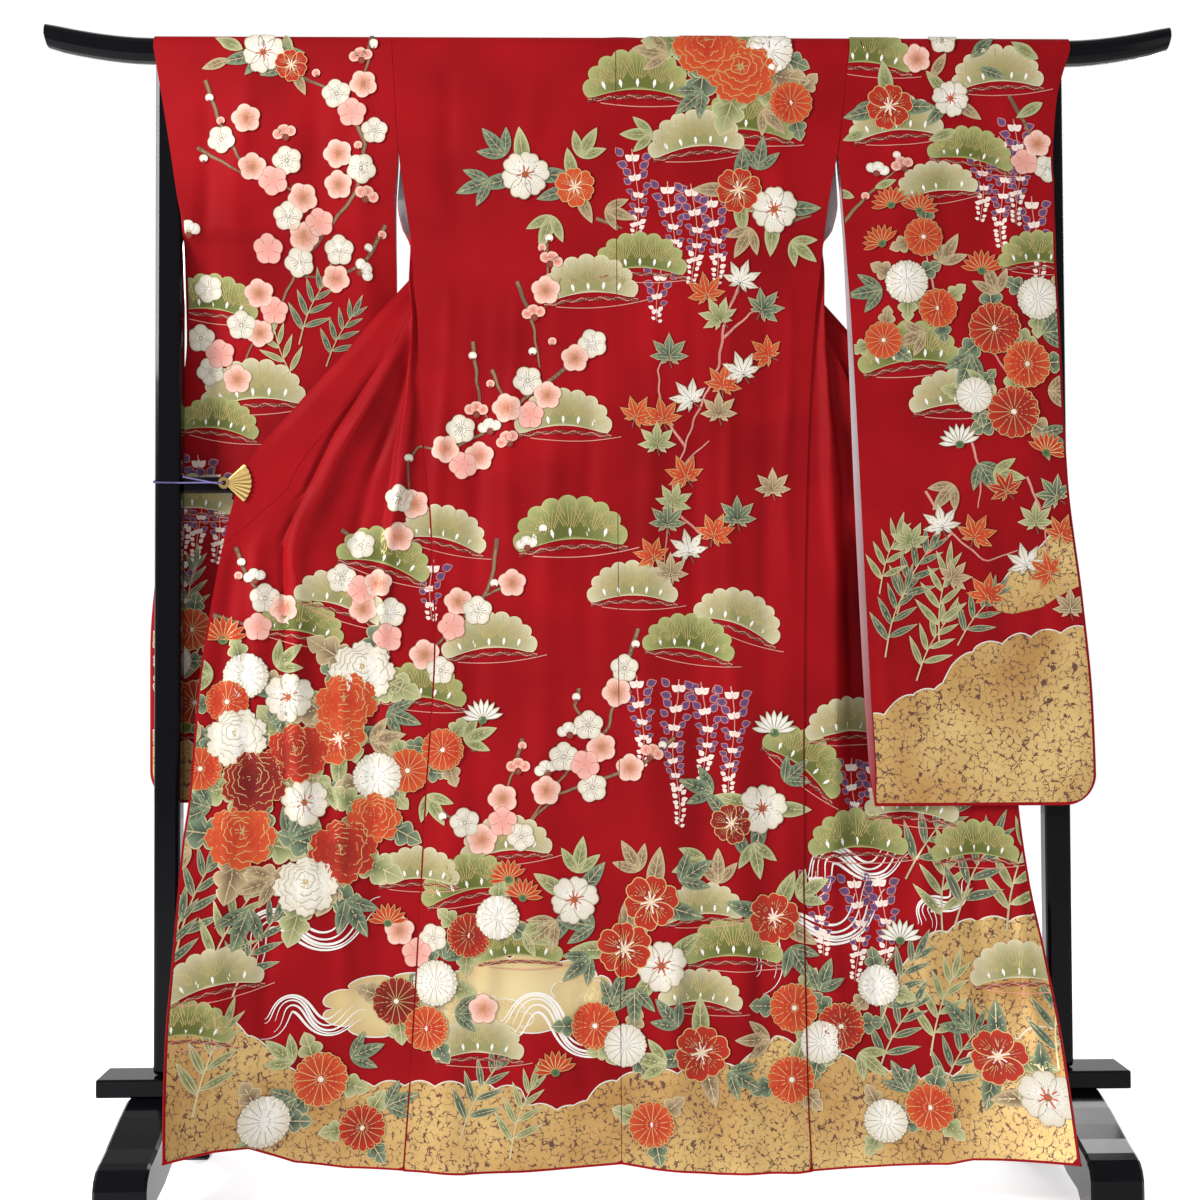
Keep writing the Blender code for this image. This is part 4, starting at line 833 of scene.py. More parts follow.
def lining_silk():
    """White lining that passes into red towards the hem and the sleeve's foot."""
    made, shader = new_material("lining silk", rgb(236, 222, 216), 0.45, Sheen_Weight=0.15)
    place = crepe_bump(made, shader, 0.10)
    pale = two_tone(made, place, rgb(200, 184, 190), rgb(224, 210, 212), 9.0)
    split = add_node(made, "ShaderNodeSeparateXYZ")
    fade = add_node(made, "ShaderNodeMapRange", From_Min=LINING_RED_BELOW, From_Max=LINING_WHITE_ABOVE)
    mix = add_node(made, "ShaderNodeMix", data_type="RGBA")
    mix.inputs[MIX_A].default_value = (*rgb(176, 26, 36), 1.0)
    wire(made, (place, "Object", split, "Vector"), (split, "Z", fade, "Value"), (fade, "Result", mix, 0),
         (pale, "Color", mix, MIX_B), (mix, MIX_OUT, shader, "Base Color"))
    return made


def printed_silk():
    """Print: colour from each patch's own attribute; the share held in its alpha is gold."""
    made, shader = new_material("hand painted print", rgb(200, 190, 150), 0.55, Specular_IOR_Level=0.15)
    crepe_bump(made, shader, 0.30)
    ink = add_node(made, "ShaderNodeAttribute", attribute_name="ink", attribute_type="GEOMETRY")
    shine = add_node(made, "ShaderNodeMapRange", To_Min=0.0, To_Max=0.55)
    rough = add_node(made, "ShaderNodeMapRange", To_Min=0.58, To_Max=0.36)
    wire(made, (ink, "Color", shader, "Base Color"), (ink, "Alpha", shine, "Value"),
         (shine, "Result", shader, "Metallic"), (ink, "Alpha", rough, "Value"),
         (rough, "Result", shader, "Roughness"))
    return made


def gold_ground():
    """Gold leaf ground crossed by dark, broken cracks: thin walls between Voronoi cells, some
    of them left out by a coarser noise."""
    made, shader = new_material("cracked gold leaf", rgb(206, 168, 112), 0.42, 0.35,
                                Specular_IOR_Level=0.30)
    place = crepe_bump(made, shader, 0.25)
    leaf = two_tone(made, place, rgb(196, 148, 82), rgb(236, 200, 130), 9.0)
    warp = add_node(made, "ShaderNodeTexNoise", Scale=110.0, Detail=4.0, Roughness=0.7)
    push = add_node(made, "ShaderNodeVectorMath", operation="MULTIPLY_ADD")
    push.inputs[1].default_value = (0.017, 0.0, 0.017)
    cells = add_node(made, "ShaderNodeTexVoronoi", feature="DISTANCE_TO_EDGE", Scale=1 / CRACK_CELL)
    gaps = add_node(made, "ShaderNodeTexNoise", Scale=130.0, Detail=2.0)
    width = add_node(made, "ShaderNodeMapRange", From_Min=0.40, From_Max=0.66, To_Min=0.0, To_Max=0.088)
    wall = add_node(made, "ShaderNodeMath", operation="LESS_THAN")
    mix = add_node(made, "ShaderNodeMix", data_type="RGBA")
    mix.inputs[MIX_B].default_value = (*rgb(112, 74, 62), 1.0)
    wire(made, (place, "Object", warp, "Vector"), (warp, "Color", push, 0), (place, "Object", push, 2),
         (push, "Vector", cells, "Vector"), (place, "Object", gaps, "Vector"),
         (gaps, "Fac", width, "Value"), (cells, "Distance", wall, 0), (width, "Result", wall, 1),
         (wall, "Value", mix, 0),
         (leaf, "Color", mix, MIX_A), (mix, MIX_OUT, shader, "Base Color"))
    return made


def lacquer_finish():
    """Deep black lacquer: a slightly uneven base under a clear gloss coat."""
    made, shader = new_material("gloss lacquer", (0.002, 0.002, 0.003), 0.22, Specular_IOR_Level=0.05,
                                Coat_Weight=1.0, Coat_Roughness=0.05, Coat_IOR=1.12)
    place = add_node(made, "ShaderNodeTexCoord")
    grain = add_node(made, "ShaderNodeTexNoise", Scale=30.0, Detail=4.0)
    spread = add_node(made, "ShaderNodeMapRange", To_Min=0.10, To_Max=0.26)
    ripple = add_node(made, "ShaderNodeBump", Strength=0.03, Distance=0.001)
    wire(made, (place, "Object", grain, "Vector"), (grain, "Fac", spread, "Value"),
         (spread, "Result", shader, "Roughness"), (grain, "Fac", ripple, "Height"),
         (ripple, "Normal", shader, "Normal"))
    return made


def gilt_finish():
    """Satin gold plate, a little duller in patches."""
    made, shader = new_material("satin gilt", (0.44, 0.30, 0.11), 0.3, 1.0)
    place = add_node(made, "ShaderNodeTexCoord")
    worn = add_node(made, "ShaderNodeTexNoise", Scale=260.0, Detail=3.0)
    spread = add_node(made, "ShaderNodeMapRange", To_Min=0.22, To_Max=0.42)
    wire(made, (place, "Object", worn, "Vector"), (worn, "Fac", spread, "Value"),
         (spread, "Result", shader, "Roughness"))
    return made


def cord_finish():
    """Dark purple silk in two near tones, with a fine uneven surface."""
    made, shader = new_material("twisted purple silk", (0.030, 0.014, 0.12), 0.5, Sheen_Weight=0.3)
    tones = two_tone(made, crepe_bump(made, shader, 0.4), (0.018, 0.008, 0.07), (0.05, 0.025, 0.18), 300.0)
    wire(made, (tones, "Color", shader, "Base Color"))
    return made


# Print. A motif is (triangles, inks, levels): triangles (m, 3, 2) in centimetres, inks
# (m, 3, 4) with the gold share last, levels (m, 3) in tenths of a millimetre above the cloth.

def joined(*motifs):
    return tuple(np.concatenate(part) for part in zip(*motifs))


def blob(outline, inside, edge, centre=None, rings=(0.55, 1.0), fade=1.6, level=0.0, gold=0.0):
    """Filled outline: a fan and bands of cells between copies of the outline shrunk towards
    the centre, its colour passing from inside to edge as a power of the share."""
    outline = np.asarray(outline, float)
    centre = outline.mean(0) if centre is None else np.asarray(centre, float)
    count = len(outline)
    points = np.concatenate([centre[None], *[centre + (outline - centre) * s for s in rings]])
    weight = np.concatenate([[0.0], np.repeat(rings, count)]) ** fade
    inks = np.asarray(inside) + (np.asarray(edge) - np.asarray(inside)) * weight[:, None]
    inks = np.concatenate([inks, np.full((len(inks), 1), gold)], 1)
    k = np.arange(count)
    n = (k + 1) % count
    faces = [np.stack([0 * k, 1 + k, 1 + n], 1)]
    for ring in range(len(rings) - 1):
        a = 1 + ring * count
        b = a + count
        faces += [np.stack([a + k, b + k, b + n], 1), np.stack([a + k, b + n, a + n], 1)]
    faces = np.concatenate(faces)
    return points[faces], inks[faces], np.full((len(faces), 3), float(level))


def strokes(paths, width, ink, level=1.0, gold=1.0, thin=0.0):
    """Ribbons along paths (count, points, 2), getting thinner by thin towards their end."""
    paths = np.asarray(paths, float)
    ahead = np.gradient(paths, axis=1)
    ahead /= np.maximum(np.linalg.norm(ahead, axis=2, keepdims=True), 1e-9)
    side = np.stack([-ahead[..., 1], ahead[..., 0]], -1)
    half = width / 2 * (1 - thin * np.linspace(0, 1, paths.shape[1]))[None, :, None]
    left, right = paths + side * half, paths - side * half
    quads = np.stack([left[:, :-1], right[:, :-1], right[:, 1:], left[:, 1:]], 2).reshape(-1, 4, 2)
    triangles = np.concatenate([quads[:, [0, 1, 2]], quads[:, [0, 2, 3]]])
    inks = np.tile(np.array([*ink, gold]), (len(triangles), 3, 1))
    return triangles, inks, np.full((len(triangles), 3), float(level))


def ringed(outline, width, ink, level=1.0, gold=1.0):
    """Line round a closed outline."""
    closed = np.concatenate([outline, outline[:1]])
    return strokes(closed[None], width, ink, level, gold)


def polar(radius, angle):
    return np.stack([radius * np.cos(angle), radius * np.sin(angle)], -1)


def round_angles(count):
    """Angles of count equal steps round a circle."""
    return np.arange(count) * 2 * pi / count


def spokes(near, far, angles):
    """Straight paths outwards at the angles, from radius near to radius far."""
    return np.stack([polar(near, angles), polar(far, angles)], 1)


def pointed(u, half):
    """Closed outline from (0, 0) to (1, 0) and back, half wide to both sides at each u."""
    return np.concatenate([np.stack([u, half], -1), np.stack([u, -half], -1)[-2:0:-1]])


def side_veins(at, ahead, reach):
    """Veins to both sides of a leaf's midrib: each goes ahead along it and reach away."""
    roots = np.stack([at, 0 * at], -1)
    tips = [np.stack([at + ahead, 0 * at + way * reach], -1) for way in (1, -1)]
    return np.concatenate([np.stack([roots, ends], 1) for ends in tips])


def placed(motif, x=0.0, z=0.0, size=1.0, turn=0.0, lift=0.0):
    """Motif scaled, turned by degrees and moved to (x, z)."""
    triangles, inks, levels = motif
    a = radians(turn)
    turned = (triangles * size) @ np.array([[cos(a), sin(a)], [-sin(a), cos(a)]])
    return turned + np.array([x, z]), inks, levels + lift


def lobed(count, depth, points, power=0.6, phase=0.0):
    """Round outline of radius 1 with lobes: 1 less depth where two of them meet."""
    angle = round_angles(points)
    wave = np.abs(np.cos(count * (angle - phase) / 2)) ** power
    return polar(1 - depth * (1 - wave), angle)


MIDRIB = np.array([[(0, 0), (0.5, 0.006), (0.97, 0)]])
WHITE = rgb(253, 250, 243)
CREAM = rgb(226, 214, 190)
CORAL = rgb(226, 122, 100)
BLUSH = rgb(248, 214, 196)
ROSE = rgb(236, 158, 142)
GOLD = rgb(226, 196, 132)
BROWN = rgb(120, 92, 74)
RUST = rgb(208, 86, 42)
FLAME = rgb(190, 50, 28)
DARK_RED = rgb(150, 34, 24)
TEAL = rgb(52, 92, 78)
MOSS = rgb(118, 132, 72)
TAUPE = rgb(152, 122, 84)
PURPLE = rgb(98, 66, 106)

TONES = {
    "white": (WHITE, CREAM, CREAM * 0.55),
    "pink": (CORAL, BLUSH, rgb(214, 150, 130)),
    "rose": (ROSE, rgb(244, 190, 176), rgb(206, 112, 96)),
    "orange": (FLAME, RUST, GOLD),
    "red": (DARK_RED, FLAME, GOLD),
    "dark": (rgb(110, 20, 16), DARK_RED, GOLD),
    "teal": (rgb(50, 66, 56), rgb(130, 146, 116), rgb(226, 206, 160)),
    "olive": (rgb(104, 112, 62), rgb(188, 190, 138), rgb(230, 212, 168)),
    "brown": (rgb(114, 88, 62), rgb(196, 172, 132), rgb(232, 212, 170)),
    "grey": (rgb(150, 146, 92), rgb(214, 204, 168), GOLD),
    "green": (rgb(100, 106, 44), rgb(176, 178, 116), GOLD),
}


def plum(tone):
    """Plum blossom, radius 1: five round petals, stamens with dots, a fine outline."""
    inside, edge, line = TONES[tone]
    count = 45
    angle = round_angles(count) + pi / 2
    off = (angle - pi / 2 + pi / 5) % (2 * pi / 5) - pi / 5
    outline = polar(0.50 * np.cos(off) + np.sqrt(0.25 - (0.50 * np.sin(off)) ** 2), angle)
    parts = [blob(outline, inside, edge, fade=1.2), ringed(outline, 0.035, line, gold=0.2)]
    notch = round_angles(5) + pi / 2 + pi / 5
    parts.append(strokes(spokes(0.34, 0.80, notch), 0.04, line, gold=0.2))
    if tone != "rose":
        spread = round_angles(15)
        ends = polar(0.46 + 0.10 * np.cos(spread * 5), spread)
        parts.append(strokes(np.stack([ends * 0.15, ends], 1), 0.035, GOLD * 0.6, 1.4))
        dot = blob(polar(1.0, round_angles(5)), GOLD, GOLD, rings=(1.0,), level=1.6, gold=1.0)
        parts += [placed(dot, x, z, 0.05) for x, z in ends]
    return joined(*parts)


def bud(tone):
    """Small round bud on a brown calyx, radius 1."""
    inside, edge, _ = TONES[tone]
    calyx = polar(np.array([0.5, 0.75, 0.75, 0.5]), np.array([3.4, 4.2, 5.2, 6.0])) - [0, 0.35]
    return joined(blob(lobed(2, 0.12, 14), inside, edge, level=0.4),
                  blob(calyx, BROWN, DARK_RED, rings=(1.0,), level=1.0))


def half_plum(tone):
    """Plum blossom seen from the side: three petals over a brown calyx."""
    inside, edge, line = TONES[tone]
    petal = lobed(2, 0.1, 16)
    parts = [placed(joined(blob(petal, inside, edge, level=0.3), ringed(petal, 0.06, line, gold=0.2)),
                    x, z, size) for x, z, size in ((-0.55, 0.2, 0.5), (0.55, 0.2, 0.5), (0, 0.42, 0.55))]
    parts.append(blob(polar(np.full(9, 0.34), round_angles(9)) - [0, 0.25], BROWN, DARK_RED, rings=(1.0,),
                      level=1.4))
    return joined(*parts)


def pine(tone):
    """Pine top, 1 wide: scallops over the top, a hollow base, needles of gold that fan out
    from points along the base, pale drops, and red-brown twigs below."""
    inside, edge, line = TONES[tone]
    scallops = 9
    count = 80
    t = np.linspace(pi, 0, count)
    share = np.linspace(0, scallops, count)
    swell = 0.97 + 0.115 * np.abs(np.sin(pi * share)) ** 0.6
    top = np.stack([0.47 * np.cos(t) * swell, 0.04 + 0.43 * np.sin(t) ** 0.85 * swell], -1)
    u = np.linspace(0.5, -0.5, 14)[1:-1]
    base = np.stack([0.94 * u, 0.02 + 0.10 * (1 - (2 * u) ** 2)], -1)
    outline = np.concatenate([top, base])
    parts = [blob(outline, inside, edge, centre=(0.0, 0.16), rings=(0.3, 0.6, 0.85, 1.0), fade=2.2)]
    parts.append(ringed(outline, 0.008, edge * 1.15, 0.9, gold=0.3))
    paths = []
    for root in np.linspace(-0.34, 0.34, 5):
        start = np.array([root, 0.05 + 0.10 * (1 - (2 * root) ** 2)])
        fan = top[6:-6:3]
        near = np.abs(fan[:, 0] - root * 1.2) < 0.22
        ends = start + (fan[near] - start) * np.where(np.arange(near.sum()) % 2, 0.92, 0.72)[:, None]
        paths.append(np.stack([start + (ends - start) * 0.28, ends], 1))
    parts.append(strokes(np.concatenate(paths), 0.007, line, 1.0, thin=0.3))
    notches = top[np.round(np.linspace(0, count - 1, scallops + 1)).astype(int)][1:-1]
    parts.append(strokes(np.stack([notches, notches * 0.62 + [0, 0.06]], 1), 0.008, line, 1.1, thin=0.6))
    drop = np.array([(0, 0), (0.016, 0.045), (0.010, 0.075), (0, 0.085), (-0.010, 0.075), (-0.016, 0.045)])
    for root in np.linspace(-0.27, 0.27, 5):
        parts.append(placed(blob(drop, WHITE, WHITE, rings=(1.0,), level=1.5), root * 1.1,
                            0.055 + 0.08 * (1 - (2 * root) ** 2), 1.0, -75 * root))
    x = np.linspace(-0.46, 0.50, 26)
    for phase, ink in ((0.0, DARK_RED), (2.1, BROWN), (4.2, ROSE * 0.8)):
        z = 0.03 + 0.09 * (1 - (1.9 * x) ** 2) * 0.6 - 0.035 + 0.016 * np.sin(x * 34 + phase)
        parts.append(strokes(np.stack([x, z], -1)[None], 0.011, ink, 1.2, gold=0.2))
    x = np.linspace(-0.34, 0.60, 14)
    z = -0.045 + 0.06 * (x - 0.1) ** 2 * 3
    parts.append(strokes(np.stack([x, z], -1)[None], 0.009, ROSE, 1.3, gold=0.4))
    return joined(*parts)


def chrysanthemum(tone):
    """Chrysanthemum, radius 1: a row of round-tipped petals over a turned row behind, lines
    between them from the pale middle outwards."""
    inside, edge, line = TONES[tone]
    petals = 15
    outer = lobed(petals, 0.20, 90, 0.5)
    behind = lobed(petals, 0.20, 60, 0.5, pi / petals) * 0.97
    notch = (np.arange(petals) + 0.5) * 2 * pi / petals
    parts = [blob(behind, inside, inside, rings=(1.0,)), ringed(behind, 0.026, line, 0.3),
             blob(outer, inside, edge, level=0.6), ringed(outer, 0.032, line, 0.9)]
    parts.append(strokes(spokes(0.14, 0.82, notch), 0.026, line, 1.0))
    parts.append(blob(lobed(7, 0.2, 21) * 0.12, WHITE, CREAM, rings=(1.0,), level=1.6))
    return joined(*parts)


def side_chrysanthemum(tone):
    """Chrysanthemum from the side: petals fanned over the top of a green cup."""
    inside, edge, line = TONES[tone]
    parts = []
    u = np.linspace(0, 1, 9)
    outline = pointed(u, 0.11 * np.sin(pi * u ** 1.5))
    petal = joined(blob(outline, inside, edge, level=0.1), ringed(outline, 0.026, line, 0.9))
    for k, turn in enumerate(np.linspace(12, 168, 9)):
        parts.append(placed(petal, 0, 0, 0.98, turn, 0.25 * (4 - abs(k - 4))))
    parts.append(blob(lobed(2, 0.2, 14) * 0.2, TEAL, MOSS, level=2.2))
    return joined(*parts)


def peony(tone):
    """Peony, radius 1: five rows of broad frilled petals, each row turned, gold stamens."""
    inside, edge, line = TONES[tone]
    parts = []
    rows = ((1.0, 8, 0.0), (0.84, 7, 0.5), (0.66, 6, 0.2), (0.47, 5, 0.9), (0.29, 4, 0.3))
    for k, (size, petals, turn) in enumerate(rows):
        count = int(40 + 44 * size)
        frill = 1 + 0.035 * np.cos(round_angles(count) * petals * 3)[:, None]
        outline = lobed(petals, 0.22, count, 0.5, turn) * frill * size
        outline = outline * [1.0, 0.93] + [0.0, 0.05 * k]
        parts += [blob(outline, inside, edge, rings=(0.7, 1.0), fade=2.6, level=0.4 * k),
                  ringed(outline, 0.022, line, 0.4 * k + 0.3, gold=0.8)]
    spread = round_angles(18)
    ends = polar(0.15 + 0.07 * np.cos(spread * 7), spread) + [0, 0.16]
    parts.append(strokes(np.stack([ends * 0.2 + [0, 0.13], ends], 1), 0.022, GOLD, 2.4))
    return joined(*parts)


def camellia(tone):
    """Open camellia, radius 1: six notched petals that widen outwards, each a circle squeezed
    towards the middle, round a tuft of stamens; pale filaments on red, brown ones on white."""
    inside, edge, line = TONES[tone]
    angle = round_angles(20)
    wide = 0.40 + 0.08 * np.cos(angle)
    notch = 1 - 0.22 * np.exp(-(np.minimum(angle, 2 * pi - angle) / 0.32) ** 2)
    petal = np.stack([0.56 + 0.46 * np.cos(angle) * notch, wide * np.sin(angle)], -1)
    veins = np.array([[(0.30, 0), (0.78, 0)], [(0.34, 0.05), (0.70, 0.13)], [(0.34, -0.05), (0.70, -0.13)]])
    shade = BROWN if tone == "white" else GOLD
    part = joined(blob(petal, inside, edge, centre=(0.2, 0), fade=1.1),
                  ringed(petal, 0.035, line, 0.5, gold=0.5), strokes(veins, 0.018, line, 0.5, 0.3, 0.5))
    parts = [placed(part, turn=60 * k + 15, lift=0.45 * (k % 3), size=1.0 - 0.06 * (k % 2))
             for k in range(6)]
    spread = np.radians([20, 62, 100, 141, 190, 236, 282, 330])
    tuft = RUST if tone == "white" else (WHITE + BLUSH) / 2
    reach = np.array([0.40, 0.30, 0.38, 0.28, 0.36, 0.30, 0.40, 0.32])
    parts.append(strokes(spokes(0.04, reach, spread), 0.055, tuft, 2.6, gold=0.1))
    parts.append(blob(lobed(5, 0.2, 12) * 0.14, tuft, shade, rings=(1.0,), level=2.9, gold=0.2))
    return joined(*parts)


def leaf(tone):
    """Leaf, 1 long from its stalk along x: a pointed oval, darker at the midrib, with veins."""
    inside, edge, line = TONES[tone]
    u = np.linspace(0, 1, 12)
    half = 0.18 * np.sin(pi * u ** 0.85) ** 0.9
    outline = pointed(u, half)
    at = np.linspace(0.2, 0.75, 4)
    veins = side_veins(at, 0.12, np.interp(at + 0.12, u, half) * 0.75)
    return joined(blob(outline, inside, edge, centre=(0.45, 0)),
                  ringed(outline, 0.016, edge * 1.15, 0.5, gold=0.5),
                  strokes(MIDRIB, 0.022, line, 0.7), strokes(veins, 0.012, line, 0.7))


def cut_leaf(tone):
    """Leaf with a deeply toothed edge, 1 long: a broad oval whose half width swings."""
    inside, edge, line = TONES[tone]
    u = np.linspace(0, 1, 22)
    half = 0.30 * np.sin(pi * u ** 0.9) ** 0.8 * (0.60 + 0.40 * np.abs(np.cos(3.5 * pi * u)) ** 0.7)
    outline = pointed(u, half)
    veins = side_veins(np.linspace(0.12, 0.62, 3), 0.15, 0.19)
    return joined(blob(outline, inside, edge, centre=(0.45, 0), fade=1.1),
                  ringed(outline, 0.020, line, 0.5, gold=0.6),
                  strokes(MIDRIB, 0.024, line, 0.7), strokes(veins, 0.014, line, 0.7))


def sprig(tone):
    """Three leaves of one stalk fanned to one side."""
    return joined(*[placed(leaf(tone), turn=turn, size=1.12 - 0.22 * abs(turn) / 42, lift=0.3 * k)
                    for k, turn in enumerate((-42, 0, 42))])


def maple(tone):
    """Maple leaf, radius 1: seven pointed lobes on a stalk, a gold vein in each."""
    inside, edge, line = TONES[tone]
    turns = np.radians(90 + np.array([-128, -88, -45, 0, 45, 88, 128]))
    reach = np.array([0.50, 0.80, 0.95, 1.0, 0.95, 0.80, 0.50])
    outline = [polar(0.16, radians(-60))]
    for k, (turn, long) in enumerate(zip(turns, reach)):
        outline += [polar(long * 0.60, turn - 0.31), polar(long, turn), polar(long * 0.60, turn + 0.31)]
        if k < 6:
            outline.append(polar(0.38, (turn + turns[k + 1]) / 2))
    outline.append(polar(0.16, radians(240)))
    outline = np.array(outline)
    tips = polar(reach * 0.9, turns)
    return joined(blob(outline, inside, edge, centre=(0, 0.02), fade=1.2),
                  ringed(outline, 0.03, line, 0.6, gold=0.7),
                  strokes(np.stack([tips * 0.05, tips], 1), 0.028, line, 0.8),
                  strokes(np.array([[(0, 0), (0.03, -0.25), (0.10, -0.48)]]), 0.05, BROWN, 0.8, gold=0.2))


def wisteria(long):
    """Hanging raceme, long centimetres: pairs of violet petals to both sides of a stem, a
    white floret between every other pair, and small white drops in the last third."""
    u = np.linspace(0, 1, 7)
    drop = pointed(u, 0.36 * np.sin(pi * u ** 0.8))
    violet = joined(blob(drop, PURPLE, PURPLE * 1.5, rings=(1.0,)),
                    ringed(drop, 0.06, ROSE * 0.9, 0.4, 0.1))
    pale = joined(blob(drop, BLUSH, WHITE, rings=(1.0,), level=0.6),
                  ringed(drop, 0.04, ROSE * 0.9, 0.9, 0.1))
    floret = joined(placed(pale, turn=40), placed(pale, turn=140),
                    placed(pale, size=0.8, turn=90, lift=0.3))
    stem = np.array([(0.5 * sin(0.35 * down + 0.4 * long), -down) for down in np.linspace(-0.6, long, 9)])
    parts = [strokes(stem[None], 0.16, ROSE * 0.9, 0.2, gold=0.1, thin=0.5)]
    down = 0.4
    k = 0
    while down < long:
        share = down / long
        size = 1.75 - 1.0 * share
        reach = 0.20 + 1.25 * (1 - share) ** 1.3
        middle = 0.5 * sin(0.35 * down + 0.4 * long)
        petal = violet if share < 0.70 else pale
        for way in (1, -1):
            at = middle + way * reach * (0.8 + 0.2 * cos(1.9 * k))
            turn = 90 - way * (55 + 18 * sin(2.3 * k + way))
            parts.append(placed(petal, at, -down - 0.35 * (way > 0), size * (0.9 + 0.1 * sin(k)), turn,
                                0.3 * (k % 3)))
        if k % 2 == 0 and share < 0.75:
            parts.append(placed(floret, middle, -down - 0.7, size * 0.78, 10 * sin(k), 1.2))
        down += size * 0.84
        k += 1
    return joined(*parts)


def bamboo(tone):
    """Spray, 1 long along x: slender leaves in pairs along a bent stem and one at its end."""
    inside, edge, line = TONES[tone]
    u = np.linspace(0, 1, 10)
    outline = pointed(u, 0.105 * np.sin(pi * u ** 0.75))
    blade = joined(blob(outline, inside, edge, centre=(0.4, 0), rings=(0.6, 1.0)),
                   ringed(outline, 0.012, line, 0.4, gold=0.6),
                   strokes(np.array([[(0, 0), (0.5, 0), (0.95, 0)]]), 0.018, line, 0.5))
    stem = np.stack([np.linspace(-0.55, 0.75, 9), 0.10 * np.sin(np.linspace(0, 2.6, 9))], -1)
    parts = [strokes(stem[None], 0.030, line, 0.1, thin=0.5)]
    for k, x in enumerate(np.linspace(-0.25, 0.62, 4)):
        z = np.interp(x, stem[:, 0], stem[:, 1])
        parts.append(placed(blade, x, z, 0.62 - 0.05 * k, 52 - 7 * k, 0.3 * k))
        parts.append(placed(blade, x + 0.07, z, 0.58 - 0.05 * k, -46 + 6 * k, 0.3 * k + 0.15))
    parts.append(placed(blade, 0.72, stem[-1, 1], 0.52, 4, 1.6))
    return joined(*parts)


def water(long, high):
    """Flowing water: lines side by side along a meander whose heading swings like a sine, so
    that it doubles back; high is the step between lines, and each thins out to both ends."""
    s = np.linspace(0, 1, 110)
    heading = 1.62 * np.sin(2 * pi * 1.5 * s) * (0.75 + 0.25 * np.cos(5 * s))
    step = np.stack([np.cos(heading), np.sin(heading)], -1)
    middle = np.cumsum(step, 0)
    middle = (middle - middle[0]) * long / (middle[-1, 0] - middle[0, 0])
    side = np.stack([-step[:, 1], step[:, 0]], -1)
    parts = []
    for k in range(5):
        swell = 0.8 + 0.35 * np.sin(7 * s + 0.6 * k)
        first, last = 6 * (k % 3), 110 - 7 * ((k + 1) % 3)
        path = (middle + side * (high * (k - 2) * swell)[:, None])[first:last]
        centre = len(path) // 2
        width = high * (0.48 - 0.06 * (k % 2))
        for part in (path[centre:], path[centre::-1]):
            parts.append(strokes(part[None], width, WHITE, 0.2 + 0.1 * k, gold=0.0, thin=0.85))
    return joined(*parts)


def trail(points, width, ink, level=0.2):
    """Branch through the points, with small wobbles, thinner towards its end."""
    points = np.asarray(points, float)
    long = np.concatenate([[0], np.cumsum(np.linalg.norm(np.diff(points, axis=0), axis=1))])
    s = np.linspace(0, long[-1], max(6, int(long[-1] / 0.7)))
    path = np.stack([np.interp(s, long, points[:, 0]), np.interp(s, long, points[:, 1])], -1)
    path[:, 0] += 0.12 * np.sin(s * 1.9) * np.sin(pi * s / long[-1])
    return strokes(path[None], width, ink, level, gold=0.1, thin=0.6)


def chart(**kinds):
    """Layout of the print, in centimetres, from text: a motif is x, z, size, turn in
    degrees and tone, size being a flower's radius, a leaf's length or a pine top's width; a
    wisteria is x, z and length, and a branch is its points, with a slash between branches."""
    table = {}
    for kind, text in kinds.items():
        if kind in ("trail", "twig"):
            table[kind] = [[tuple(map(float, point.split())) for point in branch.split(",")]
                           for branch in text.split("/")]
        else:
            words = [row.split() for row in text.split(",")]
            table[kind] = [(*map(float, row[:4]), *row[4:]) for row in words]
    return table


